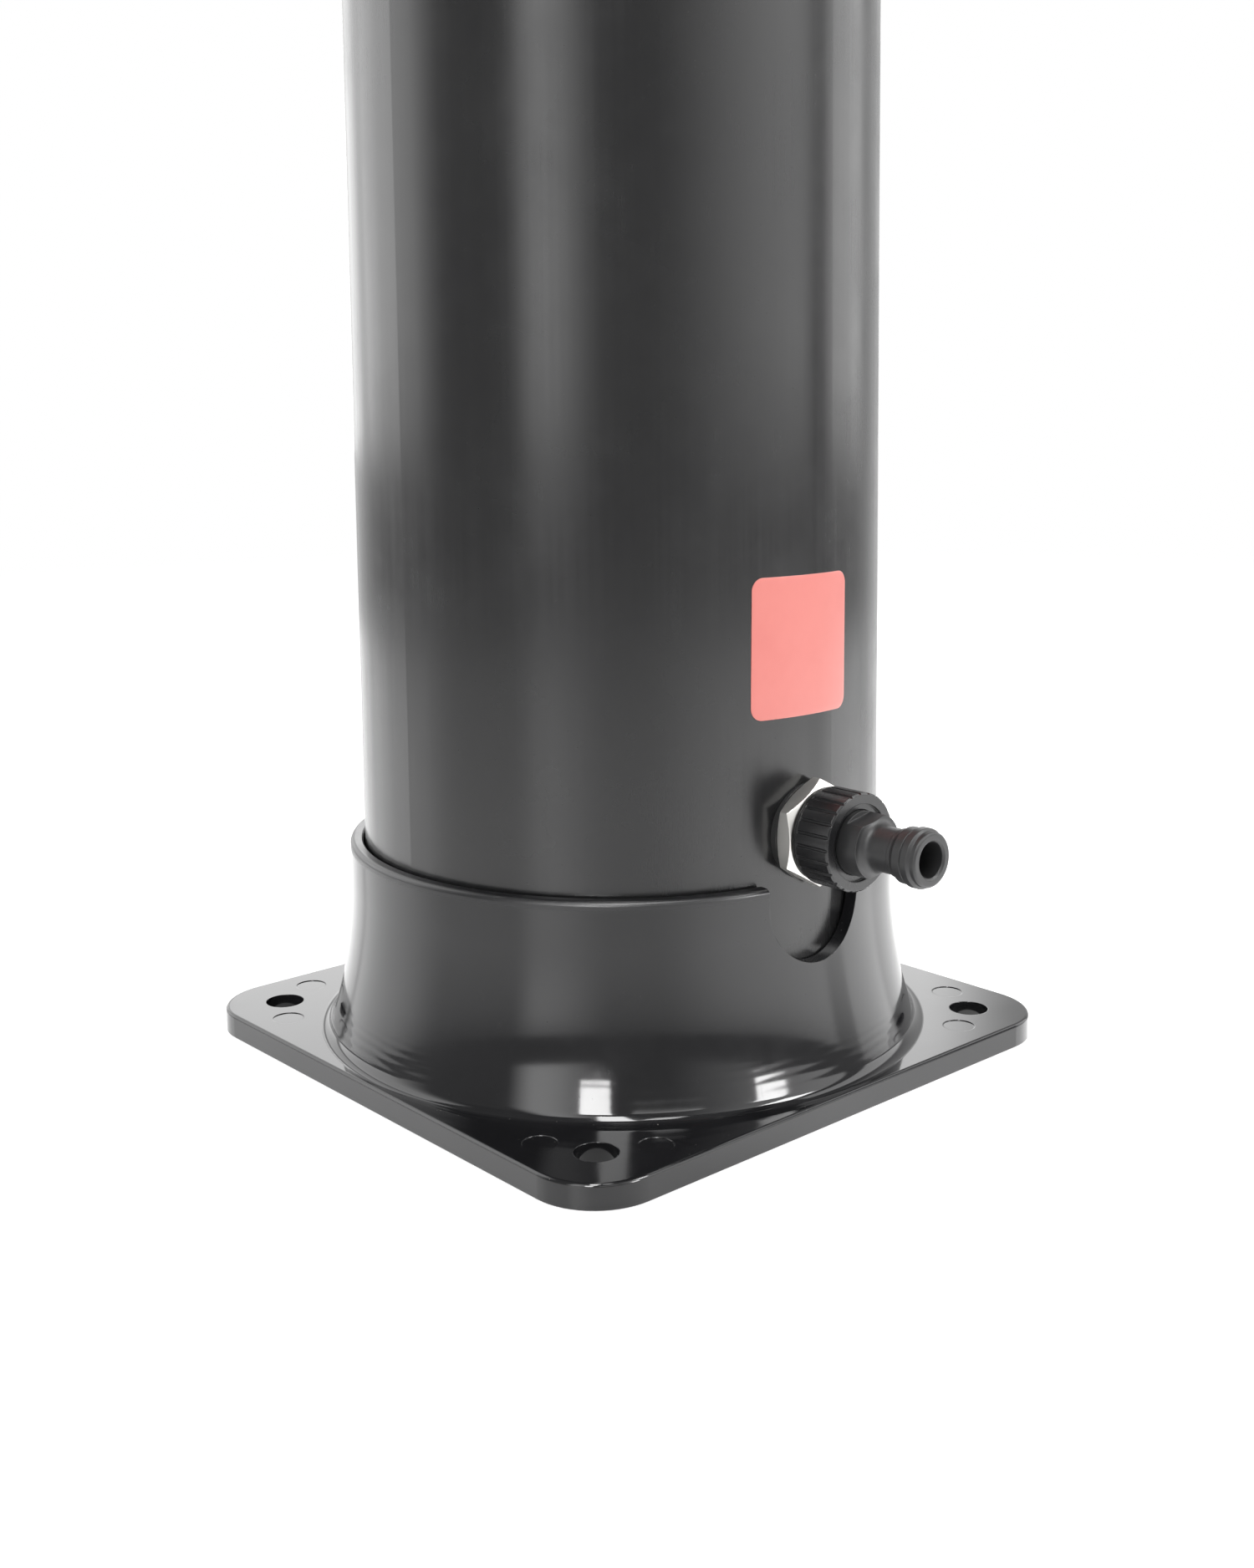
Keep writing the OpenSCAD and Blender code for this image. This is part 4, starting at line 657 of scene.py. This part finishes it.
def wear_in(name, colour, drift, edge_tint, gloss, gloss_worn, sink, grain, edge=0.3, metal=0.0, ior=1.5,
            cut=None, dust=0.35, smear=0.04, scratch=0.3):
    """A finish from the shared effects, with the layers that a later cell may build on.

    Colours are for most of it, for where it drifts to and for the edges. On dark finishes the edge
    colour is lighter, partly wear and partly a painted highlight. sink and grain are a depth in mm
    and a number per mm, and cut is what the tool left: see cut_marks.
    """
    material = bpy.data.materials.new(name)
    material.use_nodes = True
    tree = material.node_tree
    tree.nodes.clear()
    rim = use_group(tree, edges, Radius_mm=edge)
    skinned = use_group(tree, skin, Sink_mm=sink[0], Sink_per_mm=sink[1], Grain_mm=grain[0],
                        Grain_per_mm=grain[1])
    hands = use_group(tree, handling, Smears_per_mm=smear)
    height, rough = skinned["Height"], gloss
    if cut:
        tool = use_group(tree, lines, **cut["marks"])
        height = maths(tree, "ADD", height, product(tree, tool["Height"], cut["deep"]))
        rough = maths(tree, "ADD", rough, product(tree, tool["Mask"], cut["duller"]))
    tint = mix_colours(tree, ramp(tree, skinned["Shade"], *SHADE_SPREAD), colour, drift)
    # Edges take their own colour: on dark finishes it is lighter, partly wear and partly a painted highlight
    # along the edge.
    tint = mix_colours(tree, product(tree, rim["Wear and painted edge light"], EDGE_TINT_AMOUNT), tint, edge_tint)
    tint = mix_colours(tree, product(tree, hands["Dust"], dust), tint, DUST_COLOUR)
    scratched = product(tree, hands["Scratches"], scratch)
    rubbed = maths(tree, "ADD", product(tree, rim["Near"], NEAR_SHOWS),
                   product(tree, rim["Wear and painted edge light"], WEAR_SHOWS))
    marks = maths(tree, "MAXIMUM", product(tree, hands["Smears"], SMEAR_SHOWS),
                  maths(tree, "MAXIMUM", scratched, rubbed))
    rough = maths(tree, "ADD", rough, product(tree, marks, gloss_worn - gloss), clamp=True)
    height = maths(tree, "SUBTRACT", height, product(tree, scratched, SCRATCH_DEEP))
    bump = place(tree, "Bump", {"Height": height, "Distance": MM, "Normal": rim["Normal"]})
    surface = place(tree, "BsdfPrincipled", {"Base Color": tint, "Roughness": rough, "Metallic": metal,
                                             "IOR": ior, "Normal": bump.outputs[0]})
    place(tree, "OutputMaterial", {"Surface": surface.outputs[0]})
    return {"material": material, "tree": tree, "surface": surface, "height": height, "rough": rough,
            "bump": bump, "rounded": rim["Normal"]}


def cut_marks(per_mm, deep, duller, around, axis=(0, 0, 1), centre=(0, 0, 0)):
    """Lines along an axis (around 0) or round it (around 1): how many, how deep and how dull."""
    marks = {"Centre_mm": centre, "Axis": axis, "Around": around, "Lines_per_mm": per_mm}
    return {"marks": marks, "deep": deep, "duller": duller}


def dress(finish, *names):
    """Puts a finish on CAD nodes."""
    for name in names:
        for slot in nodes[name].material_slots:
            slot.material = finish["material"]
    print(finish["material"].name, "on", ", ".join(names))


print("finish helpers: wear_in, cut_marks and dress")

# %% [markdown]
# ## Gloss black foot and dome
# The foot and the dome are ABS from a polished mould, and they mirror the room almost like
# lacquer. The foot's lower flare was milled in small steps before polishing, and the steps stayed
# as fine ripples that break the highlights up. They follow the flare's height, so a wave along
# Z, bent by noise and fading at both ends, draws them.

# %% Foot
foot = wear_in("gloss_black_moulding", colour=(0.0085, 0.0085, 0.0095), drift=(0.013, 0.013, 0.0145),
               edge_tint=(0.05, 0.05, 0.052), gloss=0.07, gloss_worn=0.25, sink=(0.06, 0.02),
               grain=(0.0006, 1.2), edge=0.35, ior=1.52, dust=0.5)
dress(foot, "base_foot", "top_dome")
RIPPLE_STEP, RIPPLE_DEEP, RIPPLE_WANDER = 2.6, 0.008, 4.0
RIPPLE_START, RIPPLE_END, RIPPLE_HERE = (6, 8), (21, 13), (0.35, 0.65)

tree = foot["tree"]
spot = in_millimetres(tree)
x, y, level = place(tree, "SeparateXYZ", {0: spot}).outputs
wander = product(tree, noise(tree, spot, per_mm=0.025), RIPPLE_WANDER)
wave = maths(tree, "SINE", product(tree, maths(tree, "ADD", level, wander), 2 * math.pi / RIPPLE_STEP))
low_flare = product(tree, ramp(tree, level, *RIPPLE_START), ramp(tree, level, *RIPPLE_END))
uneven = ramp(tree, noise(tree, spot, per_mm=0.018, detail=1.0), *RIPPLE_HERE)
ripples = product(tree, wave, RIPPLE_DEEP, low_flare, uneven)
tree.links.new(maths(tree, "ADD", foot["height"], ripples), foot["bump"].inputs["Height"])
print("ripples every", RIPPLE_STEP, "mm,", RIPPLE_DEEP, "mm deep")

# %% [markdown]
# ## A true normal for the turned flare
# Light on gloss is merciless: the mesh of the collar's rim has facets a few millimetres long, and
# their averaged normals break a highlight into triangles. The foot's outer wall is turned from
# known arcs, so the shader can work out the exact normal from where a point lies on its section:
# a round rim, a straight collar, the long hollow flare and the fillet that meets the plate. First
# come those arcs, in millimetres, and a helper that gives the normal of one arc.

# %% Turned arcs
COLLAR_R, RIM_R, FLARE_R, FILLET_R = 84.5, 1.6, 135.0, 4.0
RIM_Z, FLARE_TOP, FLARE_FOOT, FILLET_Z, FILLET_AT = 64.4, 51.77, 9.76, 11.0, 95.0
WALL_SLACK, STRAIGHT_SLACK, OVERLAP = 0.25, 0.06, 0.01
outward = vector_maths(tree, "NORMALIZE", place(tree, "CombineXYZ", {0: x, 1: y}).outputs[0])
reach = dot(tree, spot, outward)


def above(value, limit):
    """1 where the value is over the limit."""
    return maths(tree, "GREATER_THAN", value, limit)


def below(value, limit):
    """1 where the value is under the limit."""
    return maths(tree, "LESS_THAN", value, limit)


def turned_arc(centre_r, centre_z, radius, low, high, hollow=False):
    """The normal of a wall turned from an arc, and a mask of where that wall is."""
    across = maths(tree, "SUBTRACT", reach, centre_r)
    rise = place(tree, "CombineXYZ", {2: maths(tree, "SUBTRACT", level, centre_z)}).outputs[0]
    ray = vector_maths(tree, "ADD", scaled(tree, outward, across), rise)
    off = maths(tree, "SUBTRACT", vector_maths(tree, "LENGTH", ray, out="Value"), radius)
    side = below(across, 0.0) if hollow else above(across, 0.0)
    mask = product(tree, side, above(level, low), below(level, high),
                   below(maths(tree, "ABSOLUTE", off), WALL_SLACK))
    return vector_maths(tree, "NORMALIZE", scaled(tree, ray, -1.0 if hollow else 1.0)), mask


print("arcs: rim", RIM_R, "flare", FLARE_R, "fillet", FILLET_R, "mm on a collar of radius", COLLAR_R, "mm")

# %% [markdown]
# ## Laying the true normals over the foot
# Each wall's normal replaces the imported one where its mask is 1. Low on the flare and on the
# rim it is always kept, and between them only where both nearly agree, so that the notch's edge
# stays rounded. Above the rim's height the finish is a little duller: the pipe was pushed in past
# the rim, and the dome, which wears the same finish, stands in the weather.

# %% Turned walls
WHOLE_BELOW, WHOLE_ABOVE, ALIKE = 30.0, 63.0, (0.9, 0.98)
RUB, RUB_RISE = 0.24, (62.5, 64.0)
collar_mask = product(tree, above(reach, COLLAR_R - STRAIGHT_SLACK), above(level, FLARE_TOP),
                      below(level, RIM_Z + OVERLAP))
walls = [turned_arc(COLLAR_R - RIM_R, RIM_Z, RIM_R, RIM_Z, RIM_Z + RIM_R + OVERLAP),
         (outward, collar_mask),
         turned_arc(COLLAR_R + FLARE_R, FLARE_TOP, FLARE_R, FLARE_FOOT, FLARE_TOP, hollow=True),
         turned_arc(FILLET_AT, FILLET_Z, FILLET_R, FILLET_Z - FILLET_R + OVERLAP, FLARE_FOOT, hollow=True)]
truth = foot["rounded"]
for normal, mask in walls:
    truth = mix_vectors(tree, mask, truth, normal)
alike = ramp(tree, dot(tree, truth, foot["rounded"]), *ALIKE)
whole = maths(tree, "MAXIMUM", above(level, WHOLE_ABOVE), below(level, WHOLE_BELOW))
kept = maths(tree, "MAXIMUM", alike, whole)
tree.links.new(mix_vectors(tree, kept, foot["rounded"], truth), foot["bump"].inputs["Normal"])
rubbed = product(tree, ramp(tree, level, *RUB_RISE), RUB)
tree.links.new(maths(tree, "ADD", foot["rough"], rubbed), foot["surface"].inputs["Roughness"])

# %% [markdown]
# ## Satin black pipe
# The tank is two lengths of extruded PVC pipe. The die leaves it satin rather than mirror-like,
# with hair-fine lines along its length and a wall that wavers by hundredths of a millimetre, which
# is why the stripes of light on it are not quite ruler-straight.

# %% Pipe
ALONG, AROUND = 0.0, 1.0
pipe = wear_in("satin_black_pipe", colour=(0.0125, 0.0125, 0.0132), drift=(0.0165, 0.0165, 0.017),
               edge_tint=(0.06, 0.06, 0.062), gloss=0.2, gloss_worn=0.42, sink=(0.03, 0.01),
               grain=(0.0005, 2.2), edge=0.4, ior=1.53, dust=0.45, smear=0.018, scratch=0.06,
               cut=cut_marks(per_mm=0.7, deep=0.0006, duller=0.03, around=ALONG))
dress(pipe, "lower_pipe", "upper_pipe")

# %% [markdown]
# ## Plain black mouldings
# The spigot and the coupling are moulded too, but in an eroded mould that leaves them an even,
# dull black, so that finger marks do not show where the two halves are screwed together.

# %% Trim
trim = wear_in("dull_black_moulding", colour=(0.014, 0.014, 0.015), drift=(0.02, 0.02, 0.021),
               edge_tint=(0.07, 0.07, 0.07), gloss=0.34, gloss_worn=0.5, sink=(0.02, 0.04),
               grain=(0.006, 2.6), edge=0.35, dust=0.4)
dress(trim, "lower_spigot", "coupling_ring", "upper_tail")

# %% [markdown]
# ## Hose coupling
# The union nut is glossy nylon, with its ribs polished by fingers. The plug on it is filled with
# glass fibre, which makes it stiffer and leaves it grey and dull, with a dry, slightly rough skin.

# %% Coupling
union = wear_in("black_nylon", colour=(0.011, 0.011, 0.012), drift=(0.017, 0.017, 0.018),
                edge_tint=(0.06, 0.06, 0.062), gloss=0.26, gloss_worn=0.42, sink=(0.02, 0.12),
                grain=(0.003, 2.4), ior=1.53, dust=0.4)
dress(union, "hose_union_nut")
plug = wear_in("filled_nylon", colour=(0.022, 0.022, 0.023), drift=(0.033, 0.033, 0.034),
               edge_tint=(0.09, 0.09, 0.09), gloss=0.42, gloss_worn=0.55, sink=(0.015, 0.15),
               grain=(0.007, 3.2), edge=0.35, ior=1.53, dust=0.4)
dress(plug, "hose_plug")

# %% [markdown]
# ## Nickel-plated brass
# The inlet's nipple and lock nut are turned from bar and nickel plated. Nickel is a little warmer
# and duller than chrome. The lathe's lines run round the inlet's axis and still show under the
# plating, and the nut's corners are brighter: partly rubbed by a spanner, partly a painted highlight.

# %% Nickel
low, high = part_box("inlet_nipple")
inlet_centre = (0, 0, (low[2] + high[2]) / 2 / MM)
nickel = wear_in("nickel_plate", colour=(0.70, 0.69, 0.66), drift=(0.78, 0.765, 0.735),
                 edge_tint=(0.9, 0.88, 0.85), gloss=0.3, gloss_worn=0.24, sink=(0.004, 0.1),
                 grain=(0.0008, 2.0), edge=0.35, metal=1.0, dust=0.1, scratch=0.1,
                 cut=cut_marks(per_mm=2.4, deep=0.0022, duller=0.1, around=AROUND, axis=(0, 1, 0),
                               centre=inlet_centre))
dress(nickel, "inlet_nipple", "inlet_lock_nut")

# %% [markdown]
# ## Chrome
# The tap, the arm and the ball are polished brass with chrome plate: nearly a pure mirror,
# faintly blue, softened only by wiping marks. The head's shell is plated plastic, and plastic
# is never as flat as brass, so its mirror image swims a little.

# %% Chrome
chrome = wear_in("chrome_plate", colour=(0.58, 0.59, 0.605), drift=(0.64, 0.645, 0.66),
                 edge_tint=(0.72, 0.72, 0.73), gloss=0.035, gloss_worn=0.2, sink=(0.012, 0.03),
                 grain=(0.0002, 1.0), edge=0.4, metal=1.0, dust=0.15, scratch=0.5)
dress(chrome, "mixer_body", "lever_handle", "shower_arm", "arm_rosette", "head_ball")
plated = wear_in("plated_plastic", colour=(0.57, 0.58, 0.595), drift=(0.63, 0.635, 0.65),
                 edge_tint=(0.7, 0.7, 0.71), gloss=0.05, gloss_worn=0.22, sink=(0.045, 0.035),
                 grain=(0.0004, 1.0), edge=0.5, metal=1.0, dust=0.2, scratch=0.5)
dress(plated, "head_collar", "head_shell")

# %% [markdown]
# ## Spray plate and nozzles
# The face of the head is satin silver paint on plastic. The nozzles under it are grey silicone,
# soft enough to rub lime off with a thumb, so they are dull and gather dust.

# %% Spray face
silver = wear_in("satin_silver", colour=(0.34, 0.345, 0.35), drift=(0.41, 0.415, 0.42),
                 edge_tint=(0.3, 0.3, 0.31), gloss=0.3, gloss_worn=0.45, sink=(0.015, 0.06),
                 grain=(0.003, 2.2), metal=0.55, dust=0.2)
dress(silver, "spray_plate")
silicone = wear_in("grey_silicone", colour=(0.085, 0.088, 0.093), drift=(0.115, 0.118, 0.122),
                   edge_tint=(0.16, 0.16, 0.165), gloss=0.5, gloss_worn=0.62, sink=(0.01, 0.3),
                   grain=(0.006, 2.6), edge=0.2, ior=1.42, dust=0.6)
dress(silicone, "nozzle_mat")

# %% [markdown]
# ## Rubber, steel and brass
# Seals are black rubber with a talc bloom. Screws, clips and ferrules are stainless steel, drawn
# and then turned, with dull crowns. The nuts inside and the lever's stem are bare brass, which
# browns in patches as soon as it leaves the lathe.

# %% Hardware
rubber = wear_in("black_rubber", colour=(0.0105, 0.0105, 0.0105), drift=(0.02, 0.02, 0.02),
                 edge_tint=(0.055, 0.054, 0.052), gloss=0.52, gloss_worn=0.66, sink=(0.02, 0.2),
                 grain=(0.008, 2.4), edge=0.25, ior=1.52, dust=0.7)
dress(rubber, "inlet_washer", "inlet_inner_washer", "hose_plug_seal", "coupling_seal",
      "mixer_saddle", "cartridge_seals", "arm_seals", "ball_seal")
steel = wear_in("stainless_steel", colour=(0.5, 0.5, 0.505), drift=(0.6, 0.6, 0.605),
                edge_tint=(0.72, 0.72, 0.73), gloss=0.24, gloss_worn=0.42, sink=(0.006, 0.2),
                grain=(0.002, 2.0), edge=0.25, metal=1.0, dust=0.3,
                cut=cut_marks(per_mm=2.6, deep=0.003, duller=0.12, around=AROUND))
dress(steel, "foot_screws", "dome_screws", "hose_ferrules", "guide_pin", "handle_screw", "arm_clip")
brass = wear_in("bare_brass", colour=(0.62, 0.42, 0.19), drift=(0.5, 0.31, 0.13),
                edge_tint=(0.8, 0.6, 0.33), gloss=0.22, gloss_worn=0.4, sink=(0.008, 0.1),
                grain=(0.0015, 2.0), metal=1.0, dust=0.2,
                cut=cut_marks(per_mm=2.2, deep=0.004, duller=0.12, around=AROUND, axis=(0, 1, 0)))
dress(brass, "mixer_back_nut", "cartridge_ring_nut", "lever_stem")

# %% [markdown]
# ## Plastics and ceramic inside
# The plugs and the tee in the tank are grey pipe PVC, the hoses are black and a little waxy, the
# cartridge is ivory acetal, and its two discs are lapped ceramic. They are seen only when the part
# is taken to pieces, but a dismantled part is looked at closest of all.

# %% Inner parts
fitting = wear_in("grey_pipe_fitting", colour=(0.05, 0.051, 0.053), drift=(0.068, 0.069, 0.071),
                  edge_tint=(0.14, 0.14, 0.14), gloss=0.36, gloss_worn=0.5, sink=(0.02, 0.06),
                  grain=(0.004, 2.4), dust=0.4)
dress(fitting, "bottom_plug", "inlet_tee", "top_plug", "mixer_inner_washer")
hose = wear_in("waxy_hose", colour=(0.016, 0.016, 0.017), drift=(0.026, 0.026, 0.027),
               edge_tint=(0.07, 0.07, 0.07), gloss=0.3, gloss_worn=0.5, sink=(0.03, 0.08),
               grain=(0.003, 2.0), ior=1.52, dust=0.4,
               cut=cut_marks(per_mm=1.4, deep=0.01, duller=0.08, around=ALONG))
dress(hose, "cold_hose", "hot_hose", "outlet_hose")
acetal = wear_in("ivory_acetal", colour=(0.72, 0.70, 0.63), drift=(0.79, 0.77, 0.71),
                 edge_tint=(0.62, 0.6, 0.54), gloss=0.3, gloss_worn=0.45, sink=(0.015, 0.1),
                 grain=(0.002, 2.2), dust=0.1)
dress(acetal, "cartridge_housing", "disc_carrier", "cartridge_guide", "swivel_bush")
ceramic = wear_in("lapped_ceramic", colour=(0.80, 0.78, 0.73), drift=(0.86, 0.84, 0.8),
                  edge_tint=(0.7, 0.68, 0.64), gloss=0.1, gloss_worn=0.3, sink=(0.002, 0.2),
                  grain=(0.0006, 2.6), edge=0.2, ior=1.76, dust=0.05)
dress(ceramic, "fixed_disc", "moving_disc")

# %% [markdown]
# ## Coral red
# The cap on the lever is moulded coral red, and the label is vinyl film of the same colour, with
# a clear satin coat. The film follows the pipe with a faint orange peel from its glue, and at its
# cut edge its colour is lighter: partly the film's lighter core, partly a painted highlight.

# %% Red cap and label
CORAL, CORAL_DEEP = (0.90, 0.27, 0.235), (0.86, 0.24, 0.21)
cap = wear_in("coral_plastic", colour=CORAL, drift=CORAL_DEEP, edge_tint=(0.93, 0.45, 0.42), gloss=0.2,
              gloss_worn=0.36, sink=(0.02, 0.1), grain=(0.002, 2.0), dust=0.15)
dress(cap, "handle_cap")
vinyl = wear_in("coral_vinyl", colour=CORAL, drift=CORAL_DEEP, edge_tint=(0.95, 0.62, 0.58), gloss=0.3,
                gloss_worn=0.42, sink=(0.02, 0.22), grain=(0.0025, 2.4), edge=0.25, dust=0.25)
COAT, COAT_ROUGH = 0.25, 0.25
vinyl["surface"].inputs["Coat Weight"].default_value = COAT
vinyl["surface"].inputs["Coat Roughness"].default_value = COAT_ROUGH
sticker.data.materials.append(vinyl["material"])
worn_by = {slot.material.name for node in nodes.values() for slot in node.material_slots}
print("finishes:", len(worn_by) + 1, "on", len(nodes), "nodes and the label")
